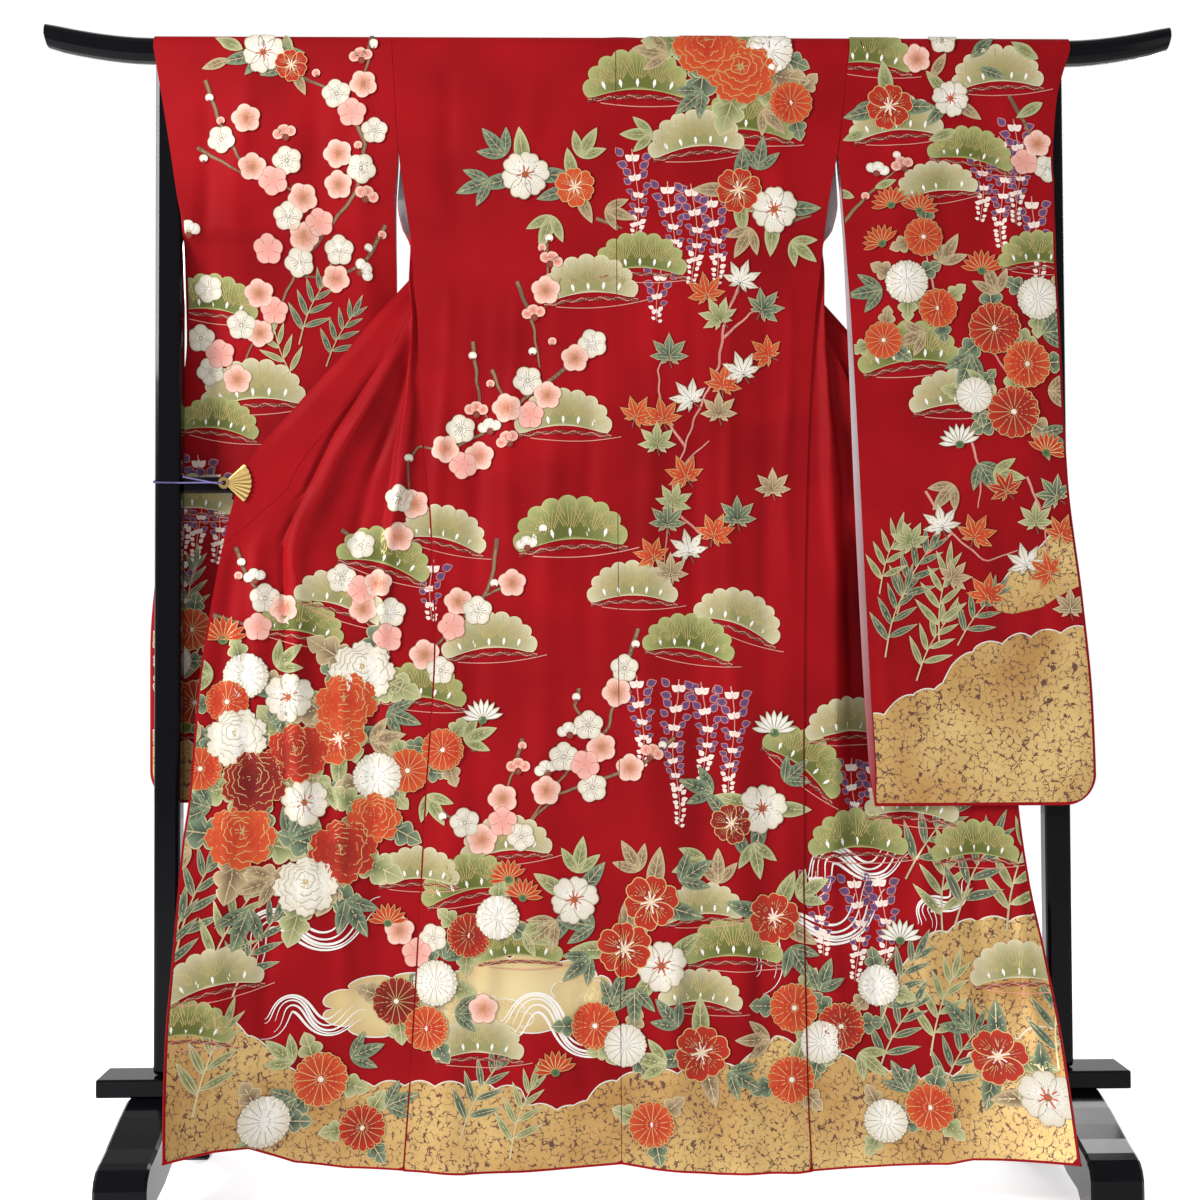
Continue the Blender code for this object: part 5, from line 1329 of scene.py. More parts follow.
SLEEVE_LEFT = chart(
    pine="""
        -57.5 124.5 12 -6 green, -51.6 111.5 14 4 grey, -57 107.6 11 -8 green, -60.5 96 12 0 grey,
        -60 64 11 10 green""",
    camellia="-49.6 162 2.9 0 white, -45.6 160.2 2.3 20 red",
    plum="""
        -39.2 156.1 2.1 10 white, -35.4 157.5 2 30 pink, -37 153.4 2.1 0 rose, -39 147.5 2.1 20 pink,
        -35.7 145.4 2.1 40 white, -39 143.2 2 5 pink, -46.2 146.5 2.1 15 white, -51.1 145.6 2 0 pink,
        -48.2 143.7 2.1 25 rose, -44.1 141.4 2.1 30 pink, -46.2 138.8 2.1 0 white, -41.8 138.1 2 12 rose,
        -44.1 136.1 2.1 50 pink, -49.2 134.3 2.1 0 rose, -44.9 132.6 2.1 22 white,
        -39.2 134.4 2.1 0 white, -39.8 130.5 2 36 pink, -50.7 128.2 2.1 10 pink, -48.6 125.8 2 0 rose,
        -57.8 128.8 2 20 white, -53.3 123.7 2.1 0 white, -50.7 122.6 2 30 pink, -59.1 121.8 2 0 white,
        -56.4 119.6 2.1 8 rose, -57.8 117.1 2 25 white, -54 116 2.1 0 pink, -52 152.5 2.1 12 pink,
        -55.5 149.5 2 40 white, -33.8 150.8 1.9 0 white""",
    half_plum="""
        -35.7 161.3 1.6 10 pink, -35.1 141.6 1.6 -20 pink, -36 131.6 1.6 -60 white,
        -46.5 150.2 1.6 15 pink, -60.2 136.5 1.6 0 white""",
    bud="""
        -44.3 159.1 0.6 0 white, -42.1 159.1 0.6 20 pink, -33.9 163.2 0.6 -20 white,
        -36.1 148.7 0.6 0 pink, -35 134.8 0.6 -30 white, -57.2 155.5 0.6 0 white, -55.6 152.2 0.6 20 pink,
        -58 146.8 0.6 10 white, -33 136.6 0.6 -20 pink""",
    leaf="-52.5 162.5 4.2 160 olive, -49.6 161.8 4 230 teal, -54.5 161 4 200 brown",
    bamboo="""
        -43.5 124.6 7.1 65 teal, -46.5 118.5 7.1 110 olive, -39.5 121 6.5 60 teal, -60.5 84 6.8 80 teal,
        -61.5 72 6.8 80 olive""",
    wisteria="-59.5 104.5 15, -62.2 103 12, -57 102.5 13, -61.5 90 11",
    chrysanthemum="-60.5 80 3 0 orange, -63.3 75.5 2.8 0 white, -60 69.5 3.2 0 red",
    trail="""
        -47.6 161.5, -44.3 158.6, -39 156.2, -37 153.4 / -34.2 165, -34.8 160.5, -35.6 157 / -37 153.4,
        -35.1 148.8, -35.7 145.4, -36.6 142, -40 138.1, -45.2 131.8, -47.3 127.5, -52 120.7,
        -53.6 117 / -57.8 158, -55.6 151.5, -53 146.8, -49 144.5, -44.1 141.4 / -58.9 148.3,
        -52.8 144.8 / -32.5 137.9, -35.4 133, -39.8 130.5, -44.9 130.8""",
)
SLEEVE_RIGHT = chart(
    pine="""
        36.5 159.3 12.5 -4 green, 55.5 156.6 12.4 3 grey, 40.9 149.4 12.7 5 grey,
        50.9 145.4 11.6 -12 green, 46.4 140.6 11 8 grey, 60.5 130.3 11 0 green, 42.1 115.8 13.8 6 green,
        48.4 109.8 12.3 2 grey""",
    plum="""
        47.6 164.2 2.1 0 white, 43.8 161.3 2 20 pink, 60.9 149 2 0 pink, 62.2 145.2 2.1 30 white,
        58.9 146.2 2 10 rose""",
    half_plum="37.8 144.9 1.6 -15 white, 41.5 145.6 1.6 20 pink",
    bud="40.7 147.3 0.6 -20 white, 36 141.2 0.6 0 pink",
    camellia="39.7 154.4 3.3 0 red, 48.6 155.6 2.6 30 white",
    chrysanthemum="""
        44.1 135.2 2.8 0 orange, 41.6 128.7 3.1 10 white, 46 125 2.8 0 orange, 54 122.1 3.7 5 red,
        58.6 117 3.4 0 orange, 38.2 120.4 2.7 12 orange, 56.6 110.2 3.7 0 red, 60.3 126.4 3.1 8 white,
        51 112.6 2.6 0 white""",
    side_chrysanthemum="""
        39.6 139.8 2.6 20 orange, 43.6 139 2.6 -10 orange, 38.2 134.2 2.6 30 orange,
        52.3 130.3 2.8 0 orange, 48.9 105.6 2.8 10 white, 61.2 104.4 2.8 -20 orange""",
    leaf="""
        51.6 161.6 4.4 40 teal, 52.8 160 4.2 -20 teal, 61.3 161.4 4.4 150 olive, 61.8 155 4.4 210 olive,
        49.3 151 4.2 200 olive, 45.9 158.6 4.2 60 brown, 34.7 153.9 3.6 20 teal, 36.6 150.8 3.8 200 olive,
        34.4 141 3.4 160 olive, 37.4 142.4 3.2 20 olive""",
    sprig="""
        38.1 127.6 4.6 190 teal, 50.7 118.4 4.8 250 teal, 60.9 121.4 4.6 10 teal, 60.4 107.2 4.6 -30 teal,
        46.6 131.4 4.4 60 brown, 44.2 121.4 4.2 200 brown, 54.4 127 4.4 110 brown, 61.6 113.2 4.2 0 brown,
        52.8 113.8 4.2 180 olive, 51.6 102.9 4.4 -60 teal, 48 99.9 4.2 230 brown,
        53.6 101.6 4.2 -10 olive""",
    wisteria="52.4 150.5 13, 55.5 149.5 16, 57.8 152 15, 60.2 140.5 12",
    maple="""
        46.3 93.9 2.8 10 white, 50.8 92.5 2.9 -30 orange, 41.9 91.6 2.8 20 olive, 59.6 94.5 2.7 0 olive,
        62.6 98.2 2.8 40 teal, 63.2 92.6 2.7 -20 orange, 58.2 88.4 2.8 15 white, 61.6 87.4 2.8 60 orange,
        52.4 84 2.9 -10 orange, 64.4 82.2 2.6 0 brown, 55.5 99 2.6 30 red, 47.6 86.6 2.5 -40 brown""",
    bamboo="""
        42 85.5 8.1 60 teal, 46.5 82 8.1 80 olive, 39.5 79.6 7.8 70 teal, 44.5 75.8 7.4 60 olive,
        50.8 80.2 7.1 50 teal, 38.6 88 6.8 70 olive""",
    twig="""
        44 99, 47.6 93, 52.4 89, 57 90.6 / 47.6 93, 44 90 / 58.4 101, 60.6 95.6, 61.4 90 / 50.6 106,
        52 101, 51.4 96.6 / 57.6 112, 55 117, 52 121 / 46.4 125, 44.8 130, 44.2 134.4""",
    trail="""
        32.7 137.2, 35.4 140.4, 38.4 143.2, 41 145.4 / 57 156, 60 150.5, 61.5 146, 64 143""",
)
BODY = chart(
    pine="""
        3.7 155 14.6 0 green, 19 149.4 13.3 -4 green, 12.2 147 12.9 6 grey, 3.9 129.6 12.5 0 green,
        -3.3 126 13.2 4 grey, -7.1 107 12.9 0 grey, -6 90.6 15.1 4 green, 2.6 83 12 0 grey,
        10.2 75.4 12.2 -8 green, 16.8 79 12 -20 grey, -24.5 91.2 11.6 -12 grey, -33 87.6 12.5 -16 green,
        -17.5 75.6 12.6 4 grey, -27.4 68.8 12 -4 green, -39.1 81.8 12 -18 grey, -44.3 78.2 11.4 -10 green,
        25.3 59 12.4 -38 green, 33.4 63.6 12 2 grey, 34.2 47.2 13.2 0 green, 41.9 52.2 12.2 -4 grey,
        12.2 38.4 11 4 grey, 16.4 32.4 13 0 green, 11.6 26.4 11 -4 grey, -27.7 43.6 11 0 grey,
        -15.1 47.3 12 6 grey, -20.3 41.8 12.4 12 green, -13.6 32.9 11.5 0 green, -19.3 19.6 12 0 grey,
        55.5 30 12 4 grey, -54.5 30 12 10 grey, -58.2 24 11 -6 green, 50.5 46.5 11.5 0 green""",
    plum="""
        -9.5 127.9 2.1 0 pink, -2.9 120.3 2.1 20 white, -5.4 118.2 2 0 pink, -12.1 115 2.1 30 white,
        -9.3 112.9 2 0 pink, -15.1 111.1 2.1 15 pink, -11.8 110.1 2 0 rose, -21.6 108.1 2.1 10 white,
        -23.8 105.3 2 40 pink, -19 104.3 2.1 0 pink, -21.3 103 2 25 rose, -30.3 98.2 2 0 white,
        -28.2 97.5 2.1 20 pink, -35.6 91.7 2 10 white, -30.3 92.8 2.1 0 pink, -38.3 87 2.1 0 white,
        -35.5 85.4 2.1 20 rose, -33.2 86.3 2 0 pink, -35.3 82.7 2 33 pink, -31.4 82.2 2.1 0 white,
        -31.9 78.6 2.1 12 rose, -48.9 84.2 2.1 0 white, -46.3 82.8 2.1 28 pink, -49.9 80.2 2 0 rose,
        -22 83.7 2 10 pink, -19.3 82.4 2.1 0 white, -22.9 80.2 2 20 rose, -14.4 86.3 2 0 pink,
        -26.7 76.2 2.2 10 pink, -24.5 74 2 0 white, 1.4 74.2 2 0 white, 0.3 70.8 2.1 22 pink,
        -3.7 66.2 2.1 0 white, -1.9 63.1 2.1 18 pink, -7.2 61.8 2.1 0 white, -4.2 60.7 2.1 30 rose,
        2.1 60.2 2 0 pink, -3.2 57.5 2.1 14 white, -9.7 57.1 2.1 0 pink, -15.8 56 2.1 22 pink,
        -15.8 52.8 2.1 0 rose, -21.1 52.7 2.1 10 white, -18.7 50.3 2.2 0 pink, -13.2 50.7 2 30 white,
        -30.2 37.8 2.1 0 pink, -25.5 36.8 2 20 white, -27.8 34.7 2.1 0 rose, -18.5 27 2.1 0 pink""",
    half_plum="""
        -8.8 132 1.6 -20 pink, -11.2 124.4 1.6 10 pink, -17.5 108.2 1.6 10 white, -14.9 106.4 1.6 30 pink,
        -19.4 110.6 1.6 0 pink, -12.3 91.6 1.5 10 white, -13.6 60.2 1.6 0 pink, -9.6 59.9 1.6 20 white,
        5.1 62.1 1.6 -20 pink, -50.3 87 1.5 10 white, -6.4 65.2 1.6 10 white""",
    bud="""
        -9 135.4 0.6 0 white, -10 134 0.6 0 pink, -11.4 119.2 0.6 0 white, -8.6 120.6 0.6 0 pink,
        -19.9 118.6 0.6 0 white, -17.4 114.6 0.6 0 pink, -28.9 104 0.6 0 white, -52.2 89.3 0.6 0 white,
        -52.6 87.4 0.6 0 pink, -16.9 86.3 0.6 0 white, -10 94 0.6 0 white, -5.4 70.2 0.6 0 white,
        -13 63.4 0.6 0 pink, -24.2 53.6 0.6 20 white, 6.7 63.4 0.6 -10 white, 3 77.6 0.6 0 white""",
    camellia="""
        -12.4 144.4 3.4 0 white, -5.3 142.7 2.8 20 orange, 18 142.3 3.2 0 red, 23.1 139.5 3.3 15 white,
        20.7 54.4 3.4 0 white, 16.3 52.4 2.8 30 dark, 4.9 41.5 3.8 0 red, 1.2 35 3.8 20 red,
        22.1 39.2 3.5 0 red, 6.3 32.7 3.5 10 white, -5.8 41.9 3.3 0 white, 11.8 20.7 3.8 0 red,
        -45.5 70.4 3.4 10 white, -38.6 64.6 3.6 0 orange, -43.2 55.8 3.2 25 white, 52 21 3.6 0 red,
        57.5 16.5 3.4 20 white""",
    peony="""
        18.6 159.3 5 10 orange, 13.6 163 4.8 0 orange, -50.1 58.7 4.6 20 dark, -51.8 51.2 4.8 0 orange,
        -38.1 48.8 4.8 12 red, -43 44.2 4.4 0 white, -52.6 64.8 4.3 25 white, -35.4 73.9 4.6 0 white,
        -37.6 69.6 4.4 30 orange, -33.7 53.4 3.8 0 orange, -44.4 62.6 4.4 10 red""",
    chrysanthemum="""
        22.6 162.4 3.4 0 white, 25.6 154.9 3.1 10 orange, 24.8 26.8 3.4 0 orange, 31.3 24.2 3.3 10 red,
        28.5 22 3 0 white, 24.3 17 3.3 5 orange, 36.6 29.8 2.9 0 white, -20.5 37.1 3.1 0 red,
        -16.5 39.5 3.1 8 white, -25.2 30.6 3.2 0 white, -30.6 28.1 3.3 5 dark, -26.4 24.4 3.1 0 orange,
        -40.8 17.9 3.7 0 orange, -3 24.5 3.3 10 orange, 1.2 21.8 3 0 white, -51.5 73.4 3.2 0 white,
        -54 69.8 3 12 orange, -57.5 60.6 3 0 orange, -29.1 60 3.1 0 orange, -24.2 62.9 3 6 orange,
        -33.3 59.2 3.4 0 white, -48 13 3.4 0 white, -35.2 11 3.2 8 red, 43 13.6 3.2 0 orange,
        37.2 11.4 3 0 white, 4.8 11 3.2 0 orange""",
    side_chrysanthemum="""
        -54.7 78.4 3.2 0 orange, -18.6 67 2.8 5 white, 39.7 36 2.8 0 white, -15 44.8 2.6 20 orange,
        -13 42.2 2.6 -10 orange, -31.8 38.8 2.6 0 orange, 22.5 65 3 0 white, -8.5 18.2 2.8 10 orange""",
    sprig="""
        -17.4 143.6 4.6 200 teal, -15.2 147.2 4.6 130 teal, -8.6 138.6 4.6 250 olive,
        -4.6 147 4.4 60 olive, -1 139.6 4 -20 brown, 8 161.8 4.6 170 brown, 13 156.6 4.6 220 teal,
        21.6 154 4.4 -50 brown, 5.8 150.3 4.2 180 olive, 20.8 145.2 4.4 80 teal, 19.8 136.8 4.4 240 brown,
        25.5 135 4.2 -40 olive, 13.8 56.7 4.6 160 teal, 19.4 49.6 4.6 -80 olive, 23.8 58.2 4.2 40 teal,
        12.7 47.4 4.6 200 olive, 3.3 45.8 4.4 120 brown, 8.9 44.4 5 30 teal, -3 38.2 5 170 teal,
        -3.5 34 4.6 220 teal, 2.5 29.6 4.8 -90 teal, 24.4 35.2 4.8 -60 teal, 25.4 42 4.6 30 olive,
        6.9 19.4 4.6 170 olive, 14.4 44 4.4 90 brown, -8.4 39 4.6 220 brown, -5.4 45.6 4.6 80 olive,
        -45.3 50.9 5 60 teal, -56 55.2 5.4 160 teal, -50.6 41.4 5.4 250 teal, -37.6 42.2 5.4 -60 teal,
        -58.3 49.6 5 190 brown, -47.2 45.4 5 200 brown, -32 68.2 4.6 -20 teal, -40.5 58.6 4.8 250 olive,
        -21.2 64.2 4.4 20 olive, -26.4 56.6 4.4 -60 olive, -56 73.6 4.4 180 olive,
        -34.4 64.2 4.6 10 brown, -48.2 66.8 4.6 30 teal, -47.4 74.6 4.4 40 olive, -57.6 65 4.4 160 brown,
        -24 33.9 4.2 60 teal, -13 37.4 4.2 -20 olive, -36.8 20.6 4.4 20 teal, -44.4 20.4 4.4 140 olive,
        -22.4 26.4 4.2 0 teal, 28.4 29 4.4 70 teal, 33.8 20.6 4.4 -40 olive, 21.4 22.4 4.4 180 brown,
        -0.6 27.4 4.4 70 teal, 15.6 18.2 4.6 -30 teal, 8.6 24.4 4.4 130 teal, -44 15.6 4.2 200 teal,
        -32 13.8 4.4 20 teal, 40.4 15.6 4.2 120 teal, 48.6 24.2 4.6 130 teal, 54.6 18.4 4.6 -40 olive""",
    maple="""
        13.4 127.2 2.8 10 orange, 18.2 129.1 2.8 -20 white, 15.3 123.8 2.8 30 olive,
        21.3 125.1 2.8 -40 teal, 8 118.4 2.8 0 teal, 18.5 116 2.8 20 white, 15.6 114.2 2.8 -10 orange,
        11.1 112.2 2.8 40 white, 15 110.2 2.7 0 brown, 3.2 109.8 2.7 -30 orange, 7.1 109.4 2.8 10 orange,
        6.2 105.8 2.8 0 olive, 10.3 101.2 2.8 25 orange, 8.4 97.4 2.7 -15 olive, 7.6 94.6 2.7 0 teal,
        5.6 89.8 2.6 30 orange, 17.5 95.2 2.8 0 teal, 14.1 92.9 2.8 -25 orange, 10.7 90.6 2.8 12 white,
        8 87.4 2.6 0 brown, 22.2 118.6 2.6 50 orange, 22.6 99.4 2.6 0 brown""",
    wisteria="""
        3.3 147.6 13, 8.4 143 12, 11.6 142.6 14, 14.6 141 12, 6.7 130.5 7, 3.6 72.6 12, 8.6 72 20,
        12.6 71.6 14, 16.4 71 16, 34.2 60.6 10, 37.4 60.2 11, 28.6 45 11, 33.8 44.4 14, 37.4 44.6 13,
        -25.5 89 8""",
    bamboo="""
        -58 40 9.6 70 teal, -53.2 37 9.3 60 olive, -60 33.6 9.3 80 teal, -55 19.5 8.7 70 olive,
        -50 34 8.7 60 teal, -19.4 13.4 8.4 60 teal, -13.4 10.6 7.8 70 olive, 44 48.4 9.3 50 teal,
        50 43 9.9 60 teal, 56 42.6 9.9 70 olive, 46.4 41.8 9.3 80 olive, 39 28 8.7 60 teal,
        45 25 8.7 70 olive, 38.6 21.6 8.4 60 teal, 46.6 18.4 8.1 60 teal, 60 24.6 8.7 80 teal""",
    twig="""
        19 130.6, 16 124, 15 117, 11.4 109.2, 8.6 101, 7.4 92, 7 88 / 15.6 121, 19.6 124.6,
        23.6 127 / 14.8 114.6, 18.6 117.6, 23.6 120.4 / 10.2 105.6, 6.8 110.4, 6.4 116.4, 8 120.6 / 8 97,
        12.6 93, 17.8 96.6 / 8.4 100, 10.4 103.6, 13.6 106.4""",
    trail="""
        -9.7 138.4, -9.4 134, -9.2 129 / -13.6 129.2, -11.4 123.4, -10.4 116.9 / -2.9 120.3, -7.4 116.2,
        -12.1 112.8, -18.4 107.6, -23.8 104.9, -27.6 105.8, -29.1 103.4, -28.8 98.6 / -19.9 120.6,
        -19 112.4, -17.4 108.4 / -17.2 116.6, -15.1 111.4 / -53 91.4, -51.6 87.6, -48.9 84.2,
        -46.3 82.8 / -56.1 81.9, -49.9 80 / -16.5 92.6, -17.2 87, -18.6 84, -22.6 80, -26.7 76,
        -30.4 70.6 / -9.7 95.6, -11 92.4, -12.8 90.4 / -14.4 86.3, -18.4 84.4 / -5 71.4, -5.6 68.6,
        -3.7 66.2 / -13 64.4, -14 60.4, -15.8 56 / 3.4 79.8, 1.8 75, 0.3 70.8, -1 65.6, -4.8 61.8,
        -8.6 57.6, -12.4 52.4 / 8.4 64.4, 3.8 60.6, -2.3 58.5, -8 56.6, -13 51.8, -18.7 50.3 / -25.6 56,
        -23.4 53.6, -21.1 52.7 / -2.3 138.2, 1.4 136.8 / 25 137.7, 28.4 138.6 / -38.3 93.8,
        -35.6 91.7 / -15.6 41, -13.6 45 / -20 62.6, -18.6 67 / 36 30.2, 39.7 35.4""",
)
# upper part of the fronts, behind the bar
FRONT_UPPER = chart(
    pine="-22 152 12.5 0 green, 24 151 12.5 0 grey, -26 142.6 11 0 grey",
    plum="""
        -18 158.4 2.1 0 white, -20.8 156.6 2 0 pink, -26.4 156.2 2 0 rose, 20 158 2.1 0 pink,
        23 156 2 0 white, 28.4 145.2 2.1 0 white""",
    chrysanthemum="26.2 141 3 0 orange, -24.4 136.8 3 0 orange",
    sprig="29 141.6 4.2 10 teal, -21 138.4 4.2 30 olive",
)
# water: x, z, length, step between lines, turn
WATER = ((20, 30, 22, 0.95, 20), (27, 43, 15, 0.85, 4), (-52, 33, 20, 0.85, 6),
    (-48.5, 25, 13, 0.75, -12), (-17, 23.6, 19, 0.85, -20), (43, 37.5, 9, 0.7, 30))
# gold ground, its top and its lower edge: along the hem, which is its lower edge, the upper
# lobe on the right front, the right sleeve and its lobe, the left sleeve
GOLD_HEM = {
    "x": (-64, -53, -50, -47, -44, -34.4, -20, -13.2, -12, -6, -2.5, 0, 4.5, 16.2, 19, 22.1, 35.1, 42.4,
        47.3, 48.3, 52.3, 56, 63),
    "high": (27.8, 27, 24.6, 21.4, 18.8, 16.9, 16.9, 16, 13.8, 13.3, 16, 17.4, 18.2, 19, 20.4, 22.7, 19,
        17.7, 18.6, 20.8, 22.7, 24.6, 27),
}
GOLD_LOBE = {
    "x": (38.6, 39.4, 41.2, 43.8, 49.6, 57.4, 59.6, 63),
    "high": (29, 31.4, 34, 36.7, 39, 39.4, 40.8, 41),
    "low": (28.6, 27.4, 27.4, 27.6, 26.6, 20, 18, 18),
}
GOLD_SLEEVE = {
    "x": (32, 37.7, 42.1, 45, 47.5, 50.8, 53.8, 57.2, 69),
    "high": (66, 67.9, 70.8, 70.8, 74.2, 77.1, 77.6, 78.6, 80),
    "low": 54,
}
GOLD_SLEEVE_LOBE = {
    "x": (52.6, 54.1, 56.1, 60.6, 62.6, 65.4, 69),
    "high": (84.6, 85.9, 87.6, 91.2, 93.7, 93.2, 94.4),
    "low": (83.4, 82, 81.6, 82.6, 84, 85.4, 86),
}
GOLD_LEFT_SLEEVE = {"x": (-69, -62, -57, -52, -30), "high": (66, 64.5, 61, 60, 59), "low": 54.5}
# pale clouds: x, z, half width, half height
PALE_CLOUDS = ((-29.5, 27.4, 11.5, 4.6), (-13, 29.2, 12, 5.6), (-20.5, 25.6, 9, 3.6),
    (-4.6, 28.6, 4.6, 3.6))

MAKERS = {
    "pine": pine, "plum": plum, "half_plum": half_plum, "bud": bud, "camellia": camellia, "peony": peony,
    "chrysanthemum": chrysanthemum, "side_chrysanthemum": side_chrysanthemum, "leaf": leaf, "sprig": sprig,
    "maple": maple, "bamboo": bamboo, "cut_leaf": cut_leaf,
}
# branches: width in centimetres, colour of the line, colour of the thin line on it
BRANCHES = {"trail": (0.62, BROWN, TAUPE * 1.1), "twig": (0.42, ROSE * 0.7, ROSE)}
# order from the cloth up: a kind later in the list lies over the ones before it
ORDER = ("wisteria", "trail", "twig", "bamboo", "pine", "leaf", "cut_leaf", "sprig", "maple", "bud",
         "half_plum", "plum", "side_chrysanthemum", "camellia", "chrysanthemum", "peony")
# leaves that look out from under each flower: kind, how many, turn between them, length in
# radii of the flower
UNDER_FLOWERS = {"camellia": ("leaf", 3, 97.0, 1.75), "chrysanthemum": ("cut_leaf", 3, 118.0, 1.55),
                 "peony": ("cut_leaf", 4, 86.0, 1.65)}
# what is repeated on a sleeve's far layer
FAR_KINDS = ("pine", "plum", "maple", "trail")
LEAF_TONES = ("teal", "olive", "teal", "brown", "olive")
# kinds drawn larger than their rows say
BIGGER = {"maple": 1.22, "pine": 1.06, "side_chrysanthemum": 1.1, "camellia": 1.06}
KIND_LEVELS = 10           # levels between one kind of motif and the next
NEXT_LEVELS = 3            # levels between a motif and the next one of its kind
GROUND_INK = (0.5, 0.4, 0.2, 1.0)   # of the gold ground, whose finish has its own colours
GOLD_LIFT = -8             # the gold ground lies this many levels below the print
CLOUD_LIFT = -6            # and the pale clouds this many
OVER_BAR = 0.027           # the print goes on over the bar up to this much above the shoulder line


def with_leaves(table):
    """The layout with leaves added under its open flowers, each turned on by a fixed step."""
    full = {kind: list(rows) for kind, rows in table.items()}
    count = 0
    for flower, (kind, leaves, step, long) in UNDER_FLOWERS.items():
        for x, z, size, turn, _ in table.get(flower, ()):
            for k in range(leaves):
                way = turn * 3 + 41.0 * count + step * k
                start = polar(size * 0.30, radians(way))
                full.setdefault(kind, []).append((x + start[0], z + start[1], size * long, way,
                                                  LEAF_TONES[(count + k) % len(LEAF_TONES)]))
            count += 1
    return full


def laid_out(table):
    """All motifs of a layout table, joined, kinds stacked in order."""
    table = with_leaves(table)
    made = {}
    parts = []
    for height, kind in enumerate(ORDER):
        for count, row in enumerate(table.get(kind, ())):
            lift = height * KIND_LEVELS + count % 3 * NEXT_LEVELS
            if kind in BRANCHES:
                wide, dark, light = BRANCHES[kind]
                branch = joined(trail(row, wide, dark), trail(row, wide * 0.42, light, 0.5))
                parts.append(placed(branch, lift=lift))
                continue
            if kind == "wisteria":
                x, z, long = row
                parts.append(placed(wisteria(long), x, z, lift=lift))
                continue
            x, z, size, turn, tone = row
            size *= BIGGER.get(kind, 1.0)
            if (kind, tone) not in made:
                made[kind, tone] = MAKERS[kind](tone)
            parts.append(placed(made[kind, tone], x, z, size, turn, lift))
    return joined(*parts)


def clipped(motif, field):
    """Motif kept where field (x, z) is above zero; triangles across the border are cut there,
    each cut point and ink lying straight between its two corners."""
    triangles, inks, levels = motif
    packed = np.concatenate([triangles, inks, levels[..., None]], -1)
    value = field(triangles[..., 0], triangles[..., 1])
    inside = value > 0
    count = inside.sum(1)
    parts = [packed[count == 3]]
    for kept in (1, 2):
        rows = count == kept
        if not rows.any():
            continue
        some, value_here, odd = packed[rows], value[rows], inside[rows] if kept == 1 else ~inside[rows]
        first = odd.argmax(1)
        order = (first[:, None] + np.arange(3)) % 3
        take = np.arange(len(some))[:, None]
        some, value_here = some[take, order], value_here[take, order]
        cut = [some[:, 0] + (some[:, k] - some[:, 0])
               * (value_here[:, 0] / (value_here[:, 0] - value_here[:, k]))[:, None] for k in (1, 2)]
        if kept == 1:
            parts.append(np.stack([some[:, 0], cut[0], cut[1]], 1))
        else:
            parts.append(np.stack([cut[0], some[:, 1], some[:, 2]], 1))
            parts.append(np.stack([cut[0], some[:, 2], cut[1]], 1))
    packed = np.concatenate(parts)
    return packed[..., :2], packed[..., 2:6], packed[..., 6]


def divided(motif, longest):
    """Triangles halved across their longest side until no side is over the given length; the
    cloth bends mostly across its height, so heights count for less."""
    packed = np.concatenate([motif[0], motif[1], motif[2][..., None]], -1)
    done = []
    while len(packed):
        long = np.linalg.norm((packed[:, [1, 2, 0], :2] - packed[:, :, :2]) * [1.0, 0.4], axis=2)
        rows = long.max(1) > longest
        done.append(packed[~rows])
        packed, long = packed[rows], long[rows]
        order = (long.argmax(1)[:, None] + np.arange(3)) % 3
        packed = packed[np.arange(len(packed))[:, None], order]
        if len(packed):
            middle = (packed[:, 0] + packed[:, 1]) / 2
            packed = np.concatenate([np.stack([packed[:, 0], middle, packed[:, 2]], 1),
                                     np.stack([middle, packed[:, 1], packed[:, 2]], 1)])
    packed = np.concatenate(done)
    return packed[..., :2], packed[..., 2:6], packed[..., 6]


def carried_over(x, high, surface, layer_side, lift):
    """Points at chart height high: on the surface below the bar, and above it round the
    bar's section, where the height counts along the curve."""
    low = np.minimum(high, SHOULDER_Z)
    y = surface(x, low) + layer_side * lift
    angle = np.clip((high - SHOULDER_Z) / (BAR_TALL / 2 + 0.001), 0, pi / 2)
    around = pi - angle if layer_side > 0 else angle
    bar_y, bar_z = bar_section(around, ON_BAR_WALL + WALL / 2 + lift)
    over = high > SHOULDER_Z
    return np.stack([x, np.where(over, bar_y, y), np.where(over, bar_z, low)], -1)


def lay(name, motif, surface, layer_side, finish, longest=0.75):
    """Print piece: the motif's triangles put on the surface y(x, z), just off the cloth on the
    side towards which the cloth's outside faces (-1 is -Y), with equal points joined."""
    triangles, inks, levels = divided(motif, longest)
    area = np.cross(triangles[:, 1] - triangles[:, 0], triangles[:, 2] - triangles[:, 0])
    whole = np.abs(area) > 1e-5
    triangles, inks, levels, area = triangles[whole], inks[whole], levels[whole], area[whole]
    turned = area * layer_side > 0
    for part in (triangles, inks, levels):
        part[turned] = part[turned][:, ::-1]
    packed = np.concatenate([triangles, inks, levels[..., None]], -1).reshape(-1, 7)
    _, first, same = np.unique(np.round(packed, 4), axis=0, return_index=True, return_inverse=True)
    packed = packed[first]
    faces = same.reshape(-1, 3)
    faces = faces[(faces != np.roll(faces, -1, 1)).all(1)]
    lift = (OFF_PAGE if "page" in name else OFF_CLOTH) + packed[:, 6] * LEVEL
    points = carried_over(packed[:, 0] / 100, packed[:, 1] / 100, surface, layer_side, lift)
    piece = new_piece(name, points, [faces], [finish])
    ink = piece.data.color_attributes.new("ink", "FLOAT_COLOR", "POINT")
    ink.data.foreach_set("color", packed[:, 2:6].astype(np.float32).ravel())
    return piece


